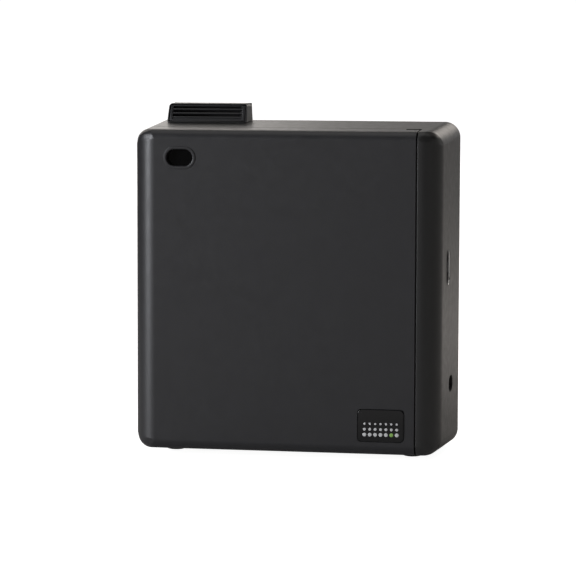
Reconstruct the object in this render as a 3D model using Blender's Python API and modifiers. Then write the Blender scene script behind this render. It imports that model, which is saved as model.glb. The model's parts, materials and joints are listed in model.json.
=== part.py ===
"""Air quality monitor for a shelf or a wall, built as separate parts that fit together.

Metres, +Z up.  The front faces -Y, and the origin is the middle of the footprint, on the table.
The lockable cover swings on the left, and air is drawn in through the louvred hood on the top.
"""
import math

import bmesh
import bpy
from mathutils import Matrix, Vector

MM = 0.001

# Case: a box whose walls lean in towards the front, with a different rounding on each kind of edge.
CASE_W = 230.0 * MM
CASE_D = 92.0 * MM
CASE_H = 240.0 * MM
SIDE_DRAFT = math.tan(math.radians(2.18))
TOP_DRAFT = math.tan(math.radians(2.47))
UPRIGHT_EDGE_R = 15.7 * MM
LEVEL_EDGE_R = 7.0 * MM
CORNER_R = 11.4 * MM
WALL = 2.5 * MM
PROUD = 0.6 * MM
FOOT_LIFT = 1.5 * MM
GAP = 0.3 * MM

FRONT_Y = PROUD / 2 - CASE_D / 2
BACK_Y = FRONT_Y + CASE_D
MID_Z = FOOT_LIFT + CASE_H / 2

# Cover: the part of the shell left of SEAM_X and in front of SEAM_Y.
COVER_D = 26.0 * MM
SEAM = 0.9 * MM
SEAM_X = 94.4 * MM
SEAM_Y = FRONT_Y + COVER_D

# Rebate behind the seam: a step inside the case's wall that carries a lip inside the cover's wall.
STEP_T = 2.7 * MM
STEP_D = 6.6 * MM
LIP_T = 1.6 * MM
LIP_GAP = 0.5 * MM
LIP_REACH = 4.5 * MM
FLANGE_GAP = 0.4 * MM
FLANGE_T = 1.8 * MM
FLANGE_W = 5.0 * MM

# Hinges on the left side.
KNUCKLE_R = 1.5 * MM
KNUCKLE_H = 11.6 * MM
KNUCKLE_GAP = 0.4 * MM
KNUCKLE_SLACK = 0.5 * MM
PIN_R = 0.7 * MM
PIN_HOLE_R = 0.9 * MM
PIN_HEAD_R = 1.2 * MM
HINGE_X = 0.1 * MM
HINGE_Z = {"upper": 190.0 * MM, "lower": 52.0 * MM}

# Front window and badge.
WINDOW_X = -77.6 * MM
WINDOW_Z = 217.5 * MM
WINDOW_W = 19.0 * MM
WINDOW_H = 11.9 * MM
BADGE_X = 69.8 * MM
BADGE_Z = 26.8 * MM
BADGE_W = 33.2 * MM
BADGE_H = 23.0 * MM
BADGE_R = 2.5 * MM

# Lock slot and power inlet in the right wall.
LOCK_Y = -6.2 * MM
LOCK_Z = 138.2 * MM
LOCK_W = 14.0 * MM
LOCK_H = 26.0 * MM
LOCK_PIN_X = 82.5 * MM
INLET_Y = 9.3 * MM
INLET_Z = 51.5 * MM
INLET_W = 17.0 * MM
INLET_H = 11.8 * MM

# Louvred hood on the top.
HOOD_X = -70.3 * MM
HOOD_W = 60.0 * MM
HOOD_H = 13.8 * MM
HOOD_FRONT_Y = 16.3 * MM
HOOD_BACK_Y = 43.6 * MM
HOOD_LEAN = 6.0 * MM
HOOD_WALL = 1.2 * MM
SLAT = 1.6 * MM
SLATS = 3

# Back plate, its screws and keyholes, and the feet.
PANEL_T = 3.0 * MM
PANEL_GAP = 0.4 * MM
REAR_SCREW_X = 106.6 * MM
REAR_SCREW_Z = (10.0 * MM, 233.0 * MM)
SCREW_R = 1.5 * MM
SCREW_HOLE_R = 1.9 * MM
SCREW_HEAD_R = 3.1 * MM
SCREW_HEAD_H = 1.7 * MM
BOSS_R = 5.0 * MM
KEYHOLE_X = 60.0 * MM
KEYHOLE_Z = 200.0 * MM
KEYHOLE_HEAD_R = 5.0 * MM
KEYHOLE_NECK_R = 2.6 * MM
KEYHOLE_DROP = 7.0 * MM
FOOT_X = 88.0 * MM
FOOT_Y = (-8.0 * MM, 37.5 * MM)
FOOT_R = 7.0 * MM

# Inside.
BOARD_T = 1.6 * MM
BOARD_Y = 30.1 * MM
BOARD_SCREW_X = (-23.0 * MM, 93.0 * MM)
BOARD_SCREW_Z = (87.0 * MM, 221.0 * MM)
TRAY_WALL = 1.6 * MM
CASSETTE_WALL = 2.0 * MM
ROTOR_X = -69.0 * MM
ROTOR_Z = 54.0 * MM
ROTOR_R = 24.0 * MM
ROTOR_BLADES = 12

COLOURS = {
    "case_black": ((0.030, 0.030, 0.033), 0.42, 0.0),
    "cover_black": ((0.034, 0.034, 0.038), 0.40, 0.0),
    "louvre_black": ((0.022, 0.022, 0.023), 0.50, 0.0),
    "window_smoke": ((0.006, 0.006, 0.007), 0.12, 0.0),
    "badge_black": ((0.010, 0.010, 0.011), 0.10, 0.0),
    "bright_liner": ((0.780, 0.780, 0.770), 0.18, 1.0),
    "steel": ((0.560, 0.560, 0.550), 0.35, 1.0),
    "rubber": ((0.020, 0.020, 0.020), 0.80, 0.0),
    "inner_grey": ((0.110, 0.112, 0.118), 0.60, 0.0),
    "board_green": ((0.020, 0.120, 0.055), 0.35, 0.0),
    "shield_tin": ((0.620, 0.620, 0.600), 0.38, 1.0),
    "sensor_white": ((0.620, 0.620, 0.600), 0.55, 0.0),
    "cell_wrap": ((0.030, 0.110, 0.280), 0.30, 0.0),
    "terminal_green": ((0.050, 0.300, 0.120), 0.50, 0.0),
    "foam": ((0.070, 0.070, 0.075), 0.95, 0.0),
    "clear": ((0.800, 0.830, 0.840), 0.08, 0.0),
    "button_grey": ((0.350, 0.355, 0.360), 0.50, 0.0),
    "lead_red": ((0.320, 0.020, 0.016), 0.50, 0.0),
    "lead_black": ((0.018, 0.018, 0.018), 0.50, 0.0),
}

PARTS = "air_quality_monitor"
CUTTERS = "cutters"


# ---------------------------------------------------------------- helpers

def mm(*values):
    """A place given in millimetres, in metres."""
    return tuple(value * MM for value in values)


def start_empty():
    """Remove every object and make the two collections."""
    for old in list(bpy.data.objects):
        bpy.data.objects.remove(old, do_unlink=True)
    for name in (PARTS, CUTTERS):
        made = bpy.data.collections.new(name)
        bpy.context.scene.collection.children.link(made)


def material(name):
    """The Principled material of that name."""
    found = bpy.data.materials.get(name)
    if found:
        return found
    colour, roughness, metallic = COLOURS[name]
    made = bpy.data.materials.new(name)
    made.use_nodes = True
    shader = made.node_tree.nodes["Principled BSDF"]
    shader.inputs["Base Color"].default_value = (*colour, 1.0)
    shader.inputs["Roughness"].default_value = roughness
    shader.inputs["Metallic"].default_value = metallic
    return made


def put(name, mesh, finish=None):
    """Link a mesh as a part with a finish, or as a cutter without one."""
    made = bpy.data.objects.new(name, mesh)
    if finish:
        mesh.materials.append(material(finish))
        bpy.data.collections[PARTS].objects.link(made)
    else:
        made.hide_render = True
        made.display_type = "WIRE"
        bpy.data.collections[CUTTERS].objects.link(made)
    return made


def from_bmesh(name, bm, finish=None):
    """Turn a bmesh into an object."""
    bmesh.ops.recalc_face_normals(bm, faces=bm.faces)
    mesh = bpy.data.meshes.new(name)
    bm.to_mesh(mesh)
    bm.free()
    return put(name, mesh, finish)


def add_box(bm, low, high):
    """Add one box between two corners and return its vertices."""
    size = Vector(high) - Vector(low)
    middle = (Vector(high) + Vector(low)) / 2
    place = Matrix.Translation(middle) @ Matrix.Diagonal((*size, 1.0))
    return bmesh.ops.create_cube(bm, size=1.0, matrix=place)["verts"]


def box(name, low, high, finish=None, radius=0.0, axis="Y"):
    """A box between two corners, with the edges along one axis rounded."""
    bm = bmesh.new()
    add_box(bm, low, high)
    if radius:
        along = "XYZ".index(axis)
        edges = [e for e in bm.edges if abs((e.verts[0].co - e.verts[1].co)[along]) > radius / 100]
        bmesh.ops.bevel(bm, geom=edges, offset=radius, segments=3, profile=0.5, affect="EDGES")
    return from_bmesh(name, bm, finish)


def boxes(name, pairs):
    """Several separate boxes in one cutter."""
    bm = bmesh.new()
    for low, high in pairs:
        add_box(bm, low, high)
    return from_bmesh(name, bm)


def turn_to(axis):
    """Rotation that takes +Z to an axis."""
    turns = {"X": Matrix.Rotation(math.pi / 2, 4, "Y"), "Y": Matrix.Rotation(-math.pi / 2, 4, "X")}
    return turns.get(axis, Matrix.Identity(4))


def add_rod(bm, middle, radius, length, axis="Z", sides=16):
    """Add one capped cylinder."""
    place = Matrix.Translation(Vector(middle)) @ turn_to(axis)
    bmesh.ops.create_cone(bm, cap_ends=True, segments=sides, radius1=radius, radius2=radius,
                          depth=length, matrix=place)


def rod(name, middle, radius, length, axis="Z", finish=None, sides=16):
    """A capped cylinder."""
    bm = bmesh.new()
    add_rod(bm, middle, radius, length, axis, sides)
    made = from_bmesh(name, bm, finish)
    shade(made)
    return made


def rods(name, middles, radius, length, axis="Z", sides=16):
    """Several separate cylinders in one cutter."""
    bm = bmesh.new()
    for middle in middles:
        add_rod(bm, middle, radius, length, axis, sides)
    return from_bmesh(name, bm)


def shade(made, angle=40):
    """Smooth shading with sharp corners kept."""
    made.data.shade_smooth()
    made.data.set_sharp_from_angle(angle=math.radians(angle))


def solid_mesh(made):
    """The evaluated mesh of an object, welded, and the object removed."""
    graph = bpy.context.evaluated_depsgraph_get()
    mesh = bpy.data.meshes.new_from_object(made.evaluated_get(graph))
    mesh.transform(made.matrix_world)
    bpy.data.objects.remove(made, do_unlink=True)
    bm = bmesh.new()
    bm.from_mesh(mesh)
    bmesh.ops.remove_doubles(bm, verts=bm.verts, dist=0.00001)
    bm.to_mesh(mesh)
    bm.free()
    return mesh


def plate(name, outline, normal, start, end, finish=None):
    """A flat outline extruded between two heights along an axis.

    The outline is in the two other axes: (x, z) for Y, (y, z) for X and (x, y) for Z.
    """
    curve = bpy.data.curves.new(name, "CURVE")
    curve.dimensions = "2D"
    curve.fill_mode = "BOTH"
    curve.extrude = (end - start) / 2
    spline = curve.splines.new("POLY")
    spline.points.add(len(outline) - 1)
    for point, (a, b) in zip(spline.points, outline):
        point.co = (a, b, 0.0, 1.0)
    spline.use_cyclic_u = True
    middle = (start + end) / 2
    frames = {
        "Y": Matrix(((1, 0, 0, 0), (0, 0, -1, middle), (0, 1, 0, 0), (0, 0, 0, 1))),
        "X": Matrix(((0, 0, 1, middle), (1, 0, 0, 0), (0, 1, 0, 0), (0, 0, 0, 1))),
        "Z": Matrix.Translation((0, 0, middle)),
    }
    flat = bpy.data.objects.new(name, curve)
    bpy.context.scene.collection.objects.link(flat)
    flat.matrix_world = frames[normal]
    bpy.context.view_layer.update()
    bm = bmesh.new()
    bm.from_mesh(solid_mesh(flat))
    bmesh.ops.dissolve_limit(bm, angle_limit=math.radians(1), verts=bm.verts, edges=bm.edges)
    made = from_bmesh(name, bm, finish)
    shade(made)
    return made


def rounded(centre, width, height, radius, steps=4):
    """Outline of a rounded rectangle; a radius of half its short side makes round ends."""
    cx, cy = centre
    corners = ((1, 1, 0), (-1, 1, 90), (-1, -1, 180), (1, -1, 270))
    points = []
    for sx, sy, first in corners:
        for step in range(steps + 1):
            turn = math.radians(first + 90 * step / steps)
            x = cx + sx * (width / 2 - radius) + radius * math.cos(turn)
            y = cy + sy * (height / 2 - radius) + radius * math.sin(turn)
            if not points or (Vector(points[-1]) - Vector((x, y))).length > 0.00002:
                points.append((x, y))
    if (Vector(points[0]) - Vector(points[-1])).length < 0.00002:
        points.pop()
    return points


def combine(target, other, operation):
    """Boolean with the exact solver; the other object becomes a hidden cutter."""
    change = target.modifiers.new(other.name, "BOOLEAN")
    change.operation = operation
    change.solver = "EXACT"
    change.object = other


def cut(target, *others):
    for other in others:
        combine(target, other, "DIFFERENCE")


def join(target, *others):
    for other in others:
        combine(target, other, "UNION")


def tube(name, points, radius, finish):
    """A round lead along a smooth route through a few points."""
    curve = bpy.data.curves.new(name, "CURVE")
    curve.dimensions = "3D"
    curve.bevel_depth = radius
    curve.bevel_resolution = 2
    curve.use_fill_caps = True
    smooth = smooth_route(points)
    spline = curve.splines.new("POLY")
    spline.points.add(len(smooth) - 1)
    for point, place in zip(spline.points, smooth):
        point.co = (*place, 1.0)
    curve.materials.append(material(finish))
    made = bpy.data.objects.new(name, curve)
    bpy.data.collections[PARTS].objects.link(made)
    return made


def smooth_route(points, steps=5):
    """Catmull-Rom curve through the given points."""
    places = [Vector(p) for p in points]
    places = [2 * places[0] - places[1]] + places + [2 * places[-1] - places[-2]]
    route = []
    for a, b, c, d in zip(places, places[1:], places[2:], places[3:]):
        for step in range(steps):
            t = step / steps
            route.append(0.5 * (2 * b + (c - a) * t + (2 * a - 5 * b + 4 * c - d) * t ** 2
                                + (3 * b - a - 3 * c + d) * t ** 3))
    route.append(places[-2])
    return route


# ---------------------------------------------------------------- case surface

def side_x(y, inset=0.0):
    """Half width of the case at a depth."""
    return CASE_W / 2 - (BACK_Y - y) * SIDE_DRAFT - inset


def top_z(y, inset=0.0):
    """Height of the case's top at a depth."""
    return MID_Z + CASE_H / 2 - (BACK_Y - y) * TOP_DRAFT - inset


def bottom_z(y, inset=0.0):
    """Height of the case's underside at a depth."""
    return MID_Z - CASE_H / 2 + (BACK_Y - y) * TOP_DRAFT + inset


def edge_weight(a, b, inset):
    """How strongly the edge from a to b is rounded, from 0 to 1."""
    run = b - a
    if a.y > 0 and b.y > 0:
        return 0.0
    if abs(run.y) > CASE_D / 2:
        radius = CORNER_R
    elif abs(run.z) > abs(run.x):
        radius = UPRIGHT_EDGE_R
    else:
        radius = LEVEL_EDGE_R
    return (radius - inset) / (UPRIGHT_EDGE_R - inset)


def body_surface(inset=0.0):
    """Open-backed outer surface of the case, moved inwards by an inset."""
    bm = bmesh.new()
    for corner in bmesh.ops.create_cube(bm, size=2.0)["verts"]:
        y = BACK_Y if corner.co.y > 0 else FRONT_Y + inset
        z = top_z(y, inset) if corner.co.z > 0 else bottom_z(y, inset)
        corner.co = (corner.co.x * side_x(y, inset), y, z)
    back = [f for f in bm.faces if all(v.co.y > 0 for v in f.verts)]
    bmesh.ops.delete(bm, geom=back, context="FACES_ONLY")
    mesh = bpy.data.meshes.new("surface")
    bm.to_mesh(mesh)
    bm.free()
    weights = mesh.attributes.new("bevel_weight_edge", "FLOAT", "EDGE")
    for edge in mesh.edges:
        a, b = (mesh.vertices[i].co for i in edge.vertices)
        weights.data[edge.index].value = edge_weight(a, b, inset)
    made = bpy.data.objects.new("surface", mesh)
    bpy.context.scene.collection.objects.link(made)
    rounding = made.modifiers.new("rounding", "BEVEL")
    rounding.limit_method = "WEIGHT"
    rounding.width = UPRIGHT_EDGE_R - inset
    rounding.segments = 6
    surface = bmesh.new()
    surface.from_mesh(solid_mesh(made))
    return surface


def trim(bm, planes, keep):
    """Slice a surface along planes and keep the faces whose middle passes a test."""
    for point, normal in planes:
        everything = bm.verts[:] + bm.edges[:] + bm.faces[:]
        bmesh.ops.bisect_plane(bm, geom=everything, dist=0.000001, plane_co=point, plane_no=normal)
    out = [f for f in bm.faces if not keep(f.calc_center_median())]
    bmesh.ops.delete(bm, geom=out, context="FACES")


def shell(name, bm, thickness, finish=None):
    """Thicken an open surface inwards."""
    mesh = bpy.data.meshes.new(name)
    bm.to_mesh(mesh)
    bm.free()
    made = put(name, mesh, finish)
    skin = made.modifiers.new("wall", "SOLIDIFY")
    skin.thickness = thickness
    skin.offset = -1.0
    skin.use_even_offset = True
    shade(made)
    return made


def ring(name, inset, thickness, first_y, last_y, last_x):
    """A band of the case's wall between two depths, left of last_x."""
    bm = body_surface(inset)
    planes = (((0, first_y, 0), (0, 1, 0)), ((0, last_y, 0), (0, 1, 0)), ((last_x, 0, 0), (1, 0, 0)))
    trim(bm, planes, lambda c: first_y < c.y < last_y and c.x < last_x)
    return shell(name, bm, thickness)


# ---------------------------------------------------------------- case, cover and back

def hinge_axis():
    """Place of the hinges' axis, just outside the left wall on the seam."""
    return -side_x(SEAM_Y) - HINGE_X, SEAM_Y


def knuckle_levels(z, owner):
    """Middle heights of one hinge's knuckles that belong to the case or the cover."""
    step = KNUCKLE_H + KNUCKLE_GAP
    return (z - step, z + step) if owner == "case" else (z,)


def knuckles(owner, radius, extra, name):
    """Barrels of one owner at both hinges, with their height grown by extra."""
    x, y = hinge_axis()
    middles = [(x, y, level) for z in HINGE_Z.values() for level in knuckle_levels(z, owner)]
    return rods(name, middles, radius, KNUCKLE_H + extra, "Z", sides=16)


def add_hinge_barrels(target, owner, other):
    """Cut room for the other owner's knuckles, add this owner's and drill them for the pins."""
    x, y = hinge_axis()
    room = knuckles(other, KNUCKLE_R + KNUCKLE_SLACK, 2 * KNUCKLE_GAP, owner + "_knuckle_room")
    cut(target, room)
    join(target, knuckles(owner, KNUCKLE_R, 0.0, owner + "_knuckles"))
    drill = [(x, y, z) for z in HINGE_Z.values()]
    cut(target, rods(owner + "_pin_holes", drill, PIN_HOLE_R, 6 * KNUCKLE_H, "Z", sides=16))


def hinge_length():
    """Height of one hinge, from the lowest knuckle to the highest."""
    return 3 * KNUCKLE_H + 2 * KNUCKLE_GAP


def pin_head_room(owner):
    """Room in the cover's or the case's edge for the heads of the hinge pins."""
    x, y = hinge_axis()
    heads = [(x, y, z + hinge_length() / 2 + 3 * GAP) for z in HINGE_Z.values()]
    return rods(owner + "_pin_head_room", heads, KNUCKLE_R + KNUCKLE_SLACK, 6 * GAP, "Z", sides=16)


def make_case():
    """Side walls, top, bottom and the fixed strip at the right of the cover."""
    x = SEAM_X + SEAM / 2
    y = SEAM_Y + SEAM / 2
    bm = body_surface()
    trim(bm, (((x, 0, 0), (1, 0, 0)), ((0, y, 0), (0, 1, 0))), lambda c: c.x > x or c.y > y)
    case = shell("main_case", bm, WALL, "case_black")
    step_y = y + FLANGE_GAP
    step = ring("case_step", WALL - GAP, STEP_T, step_y, step_y + STEP_D, SEAM_X - 4.4 * MM)
    lip_end = step_y + STEP_D - 1.0 * MM
    lip = ring("case_lip", WALL + LIP_GAP, LIP_T, y - LIP_REACH, lip_end, SEAM_X - 5.4 * MM)
    join(case, step, lip, strip_flange(), corner_bosses())
    half = CASE_W / 2 + 5.0 * MM
    cut(case, box("back_trim", (-half, BACK_Y, -5.0 * MM), (half, BACK_Y + 5.0 * MM, CASE_H + 5.0 * MM)))
    cut(case, pin_head_room("case"))
    add_hinge_barrels(case, "case", "cover")
    cut(case, rods("boss_holes", rear_screw_places(34.0 * MM), SCREW_HOLE_R, 22.0 * MM, "Y", sides=12))
    cut(case, lock_hole(), inlet_hole(), hood_holes(), exhaust_slots())
    return case


def strip_flange():
    """Rebate behind the cover's right edge that closes the seam."""
    face = FRONT_Y + WALL
    left = SEAM_X - FLANGE_W
    edge = SEAM_X + SEAM / 2 + FLANGE_GAP
    right = edge + 3.3 * MM
    bite = face - 1.0 * MM
    front = face + FLANGE_GAP
    back = front + FLANGE_T
    outline = ((left, front), (edge, front), (edge, bite), (right, bite), (right, back), (left, back))
    return plate("strip_flange", outline, "Z", 12.0 * MM, 231.0 * MM)


def rear_screw_places(y):
    """Points on the axes of the back plate's four screws, at one depth."""
    return [(sx * REAR_SCREW_X, y, z) for z in REAR_SCREW_Z for sx in (-1, 1)]


def corner_bosses():
    """Screw columns in the four corners."""
    return rods("corner_bosses", rear_screw_places(31.5 * MM), BOSS_R, 22.0 * MM, "Y", sides=16)


def lock_hole():
    outline = rounded((LOCK_Y, LOCK_Z), LOCK_W + 2 * GAP, LOCK_H + 2 * GAP, LOCK_W / 2 + GAP, 5)
    return plate("lock_hole", outline, "X", 105.0 * MM, 120.0 * MM)


def inlet_hole():
    outline = rounded((INLET_Y, INLET_Z), INLET_W, INLET_H, INLET_H / 2, 5)
    return plate("inlet_hole", outline, "X", 105.0 * MM, 120.0 * MM)


def hood_screw_places():
    return [(HOOD_X + side * 25.0 * MM, 33.0 * MM) for side in (-1, 1)]


def hood_holes():
    """Air opening and two screw holes under the hood."""
    bm = bmesh.new()
    half = 18.0 * MM
    add_box(bm, (HOOD_X - half, 21.0 * MM, 225.0 * MM), (HOOD_X + half, 39.0 * MM, 250.0 * MM))
    for x, y in hood_screw_places():
        add_rod(bm, (x, y, 240.0 * MM), SCREW_HOLE_R, 12.0 * MM, "Z", 12)
    return from_bmesh("hood_holes", bm)


def exhaust_slots():
    """Row of slots in the bottom under the blower's outlet."""
    pairs = []
    for index in range(6):
        x = -96.0 + 4.6 * index
        pairs.append((mm(x, 19.5, -2.0), mm(x + 2.4, 29.0, 7.0)))
    return boxes("exhaust_slots", pairs)


def make_cover():
    """Front cover that wraps over the left, top and bottom edges."""
    x = SEAM_X - SEAM / 2
    y = SEAM_Y - SEAM / 2
    bm = body_surface()
    trim(bm, (((x, 0, 0), (1, 0, 0)), ((0, y, 0), (0, 1, 0))), lambda c: c.x < x and c.y < y)
    cover = shell("front_cover", bm, WALL, "cover_black")
    cut(cover, pin_head_room("cover"))
    add_hinge_barrels(cover, "cover", "case")
    hole = window_outline(0.8 * MM)
    cut(cover, plate("window_hole", hole, "Y", FRONT_Y - 5.0 * MM, FRONT_Y + 8.0 * MM))
    seat = rounded((BADGE_X, BADGE_Z), BADGE_W + 2 * GAP, BADGE_H + 2 * GAP, BADGE_R + GAP, 3)
    cut(cover, plate("badge_seat", seat, "Y", FRONT_Y - 5.0 * MM, FRONT_Y + 1.0 * MM))
    return cover


def window_outline(grow):
    """Round-ended outline of the window, grown all round."""
    width, height = WINDOW_W + 2 * grow, WINDOW_H + 2 * grow
    return rounded((WINDOW_X, WINDOW_Z), width, height, height / 2, 5)


def make_window():
    """Ring round the window, and the smoked lens behind it."""
    flange = window_outline(2.2 * MM)
    bezel = plate("window_bezel", flange, "Y", FRONT_Y - PROUD, FRONT_Y - GAP, "cover_black")
    join(bezel, plate("bezel_sleeve", window_outline(0.5 * MM), "Y", FRONT_Y - 0.5 * MM, FRONT_Y + 4.0 * MM))
    cut(bezel, plate("bezel_bore", window_outline(0.0), "Y", FRONT_Y - 5.0 * MM, FRONT_Y + 9.0 * MM))
    lens = window_outline(1.5 * MM)
    plate("window_lens", lens, "Y", FRONT_Y + 4.3 * MM, FRONT_Y + 5.8 * MM, "window_smoke")
    return bezel


def make_badge():
    outline = rounded((BADGE_X, BADGE_Z), BADGE_W, BADGE_H, BADGE_R, 3)
    return plate("badge_plate", outline, "Y", FRONT_Y - PROUD, FRONT_Y + 0.7 * MM, "badge_black")


def make_rear_panel():
    """Back plate with two keyholes and the standoffs for the board."""
    inner_y = BACK_Y - PANEL_T
    width = 2 * (side_x(inner_y, WALL) - PANEL_GAP)
    top = top_z(inner_y, WALL) - PANEL_GAP
    bottom = bottom_z(inner_y, WALL) + PANEL_GAP
    outline = rounded((0.0, (top + bottom) / 2), width, top - bottom, 8.5 * MM, 5)
    panel = plate("rear_panel", outline, "Y", inner_y, BACK_Y, "case_black")
    post_h = inner_y - BOARD_Y - BOARD_T - GAP
    posts = [(x, inner_y + 0.5 * MM - post_h / 2, z) for x, z in board_corners()]
    join(panel, rods("standoffs", posts, 3.5 * MM, post_h + 1.0 * MM, "Y", sides=12))
    wells = [(x, 35.0 * MM, z) for x, z in board_corners()]
    cut(panel, rods("standoff_holes", wells, 1.6 * MM, 12.0 * MM, "Y", sides=12))
    cut(panel, rods("panel_holes", rear_screw_places(45.0 * MM), SCREW_HOLE_R, 10.0 * MM, "Y", sides=12))
    sinks = rear_screw_places(BACK_Y + 0.5 * MM)
    cut(panel, rods("panel_sinks", sinks, SCREW_HEAD_R + 0.4 * MM, 5.6 * MM, "Y", sides=16))
    heads = [(sx * KEYHOLE_X, BACK_Y, KEYHOLE_Z) for sx in (-1, 1)]
    cut(panel, rods("keyhole_heads", heads, KEYHOLE_HEAD_R, 12.0 * MM, "Y", sides=20))
    for side in (-1, 1):
        cut(panel, keyhole_neck(side))
    return panel


def keyhole_neck(side):
    """Slot above a keyhole's round head, for the shank of a wall screw."""
    centre = (side * KEYHOLE_X, KEYHOLE_Z + KEYHOLE_DROP / 2)
    neck = rounded(centre, 2 * KEYHOLE_NECK_R, KEYHOLE_DROP + 2 * KEYHOLE_NECK_R, KEYHOLE_NECK_R, 5)
    return plate(f"keyhole_neck_{side}", neck, "Y", BACK_Y - 7.0 * MM, BACK_Y + 7.0 * MM)


def screw(name, head, axis, sign, head_r, shank_r, length):
    """Pan-head screw; head is the middle of the head's outer face and sign the way the shank points."""
    along = {"Y": Vector((0, 1, 0)), "Z": Vector((0, 0, 1))}[axis] * sign
    made = rod(name, Vector(head) + along * SCREW_HEAD_H / 2, head_r, SCREW_HEAD_H, axis, "steel", 16)
    start = SCREW_HEAD_H - 0.2 * MM
    middle = Vector(head) + along * (start + length / 2)
    join(made, rod(name + "_shank", middle, shank_r, length, axis, None, 10))
    return made


def make_screws():
    """Screws of the back panel, the board and the hood."""
    for number, place in enumerate(rear_screw_places(BACK_Y - GAP), 1):
        screw(f"rear_screw_{number}", place, "Y", -1, SCREW_HEAD_R, SCREW_R, 15.0 * MM)
    for number, (x, z) in enumerate(board_corners(), 1):
        head = (x, BOARD_Y - GAP - SCREW_HEAD_H, z)
        screw(f"board_screw_{number}", head, "Y", 1, 2.8 * MM, 1.2 * MM, 8.0 * MM)
    for number, (x, y) in enumerate(hood_screw_places(), 1):
        under = top_z(y, WALL) - SCREW_HEAD_H - 0.6 * MM
        screw(f"hood_screw_{number}", (x, y, under), "Z", 1, 2.8 * MM, 1.3 * MM, 8.5 * MM)


def make_hinge_pins():
    x, y = hinge_axis()
    for which, z in HINGE_Z.items():
        length = hinge_length()
        pin = rod(which + "_hinge_pin", (x, y, z + 1.5 * GAP), PIN_R, length + GAP, "Z", "steel", 12)
        head = (x, y, z + length / 2 + 2 * GAP)
        join(pin, rod(which + "_pin_head", head, PIN_HEAD_R, 2 * GAP, "Z", None, 12))


def make_feet():
    """Rubber pads whose tops follow the sloping underside."""
    number = 1
    for y in FOOT_Y:
        for sx in (-1, 1):
            bm = bmesh.new()
            add_rod(bm, (sx * FOOT_X, y, 0.5 * MM), FOOT_R, 1.0 * MM, "Z", 20)
            for corner in bm.verts:
                low = corner.co.z < 0.5 * MM
                corner.co.z = 0.0 if low else bottom_z(corner.co.y) - GAP
            shade(from_bmesh(f"foot_{number}", bm, "rubber"))
            number += 1


# ---------------------------------------------------------------- hood

def hood_surface():
    """Open-bottomed hood with a sloping front."""
    bm = bmesh.new()
    for corner in bmesh.ops.create_cube(bm, size=2.0)["verts"]:
        high = corner.co.z > 0
        back = corner.co.y > 0
        half = HOOD_W / 2 - (0.55 * MM if high else 0.0)
        y = HOOD_BACK_Y if back else HOOD_FRONT_Y
        z = top_z(y)
        if high:
            y += -0.8 * MM if back else HOOD_LEAN
            z = top_z(HOOD_FRONT_Y) + GAP + HOOD_H
        corner.co = (HOOD_X + corner.co.x * half, y, z)
    low = [f for f in bm.faces if f.calc_center_median().z < 242.0 * MM]
    bmesh.ops.delete(bm, geom=low, context="FACES_ONLY")
    soft = [e for e in bm.edges if not e.is_boundary and min(v.co.y for v in e.verts) > 38.0 * MM]
    bmesh.ops.bevel(bm, geom=soft, offset=3.0 * MM, segments=3, profile=0.5, affect="EDGES")
    sides = [e for e in bm.edges if is_hood_side_edge(e)]
    bmesh.ops.bevel(bm, geom=sides, offset=1.8 * MM, segments=3, profile=0.5, affect="EDGES")
    bmesh.ops.recalc_face_normals(bm, faces=bm.faces)
    return bm


def case_top_block():
    """The space under the hood, up to a gap above the sloping top of the case."""
    bm = bmesh.new()
    half = HOOD_W / 2 + 5.0 * MM
    low, high = (HOOD_X - half, 5.0 * MM, 230.0 * MM), (HOOD_X + half, BACK_Y, 240.0 * MM)
    for corner in add_box(bm, low, high):
        if corner.co.z > 235.0 * MM:
            corner.co.z = top_z(corner.co.y) + GAP
    return from_bmesh("case_top_block", bm)


def is_hood_side_edge(edge):
    """True for the two level edges between the hood's top and its sides."""
    a, b = (v.co for v in edge.verts)
    level = abs(a.z - b.z) < 0.2 * MM and a.z > 253.0 * MM
    return level and abs(a.y - b.y) > 10.0 * MM and abs(a.x - HOOD_X) > 25.0 * MM


def slope_frame():
    """Axes of the hood's front: X across, Y up the slope, Z out of it, from the lower edge's middle."""
    base = Vector((HOOD_X, HOOD_FRONT_Y, top_z(HOOD_FRONT_Y) + GAP))
    up = Vector((0, HOOD_LEAN, HOOD_H)).normalized()
    out = Vector((1, 0, 0)).cross(up)
    frame = Matrix((Vector((1, 0, 0)), up, out)).transposed().to_4x4()
    frame.translation = base
    return frame


def on_slope(name, low, high, finish=None):
    """A box in the axes of the hood's sloping front."""
    bm = bmesh.new()
    add_box(bm, low, high)
    bmesh.ops.transform(bm, matrix=slope_frame(), verts=bm.verts)
    return from_bmesh(name, bm, finish)


def make_hood():
    """Hood shell, and the slatted insert in its front."""
    hood = shell("vent_hood", hood_surface(), HOOD_WALL, "case_black")
    bm = bmesh.new()
    for x, y in hood_screw_places():
        add_rod(bm, (x, y, 247.0 * MM), 3.2 * MM, 12.4 * MM, "Z", 12)
    join(hood, from_bmesh("hood_bosses", bm))
    cut(hood, case_top_block())
    holes = [(x, y, 244.0 * MM) for x, y in hood_screw_places()]
    cut(hood, rods("hood_boss_holes", holes, 1.6 * MM, 12.0 * MM, "Z", 10))
    half = HOOD_W / 2 - HOOD_WALL
    slope = math.hypot(HOOD_LEAN, HOOD_H)
    low, high = 0.8 * MM, slope - 0.8 * MM
    cut(hood, on_slope("hood_front", (-half, low, -4.0 * MM), (half, high, 4.0 * MM)))
    lowest, highest = (-half + GAP, low + GAP, -2.2 * MM), (half - GAP, high - GAP, -0.4 * MM)
    insert = on_slope("vent_louvre", lowest, highest, "louvre_black")
    first = (slope - (2 * SLATS + 1) * SLAT) / 2
    reach = half - 2.5 * MM
    for index in range(SLATS + 1):
        start = first + 2 * SLAT * index
        gap = on_slope(f"louvre_gap_{index}", (-reach, start, -5.0 * MM), (reach, start + SLAT, 5.0 * MM))
        cut(insert, gap)
    return hood


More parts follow.
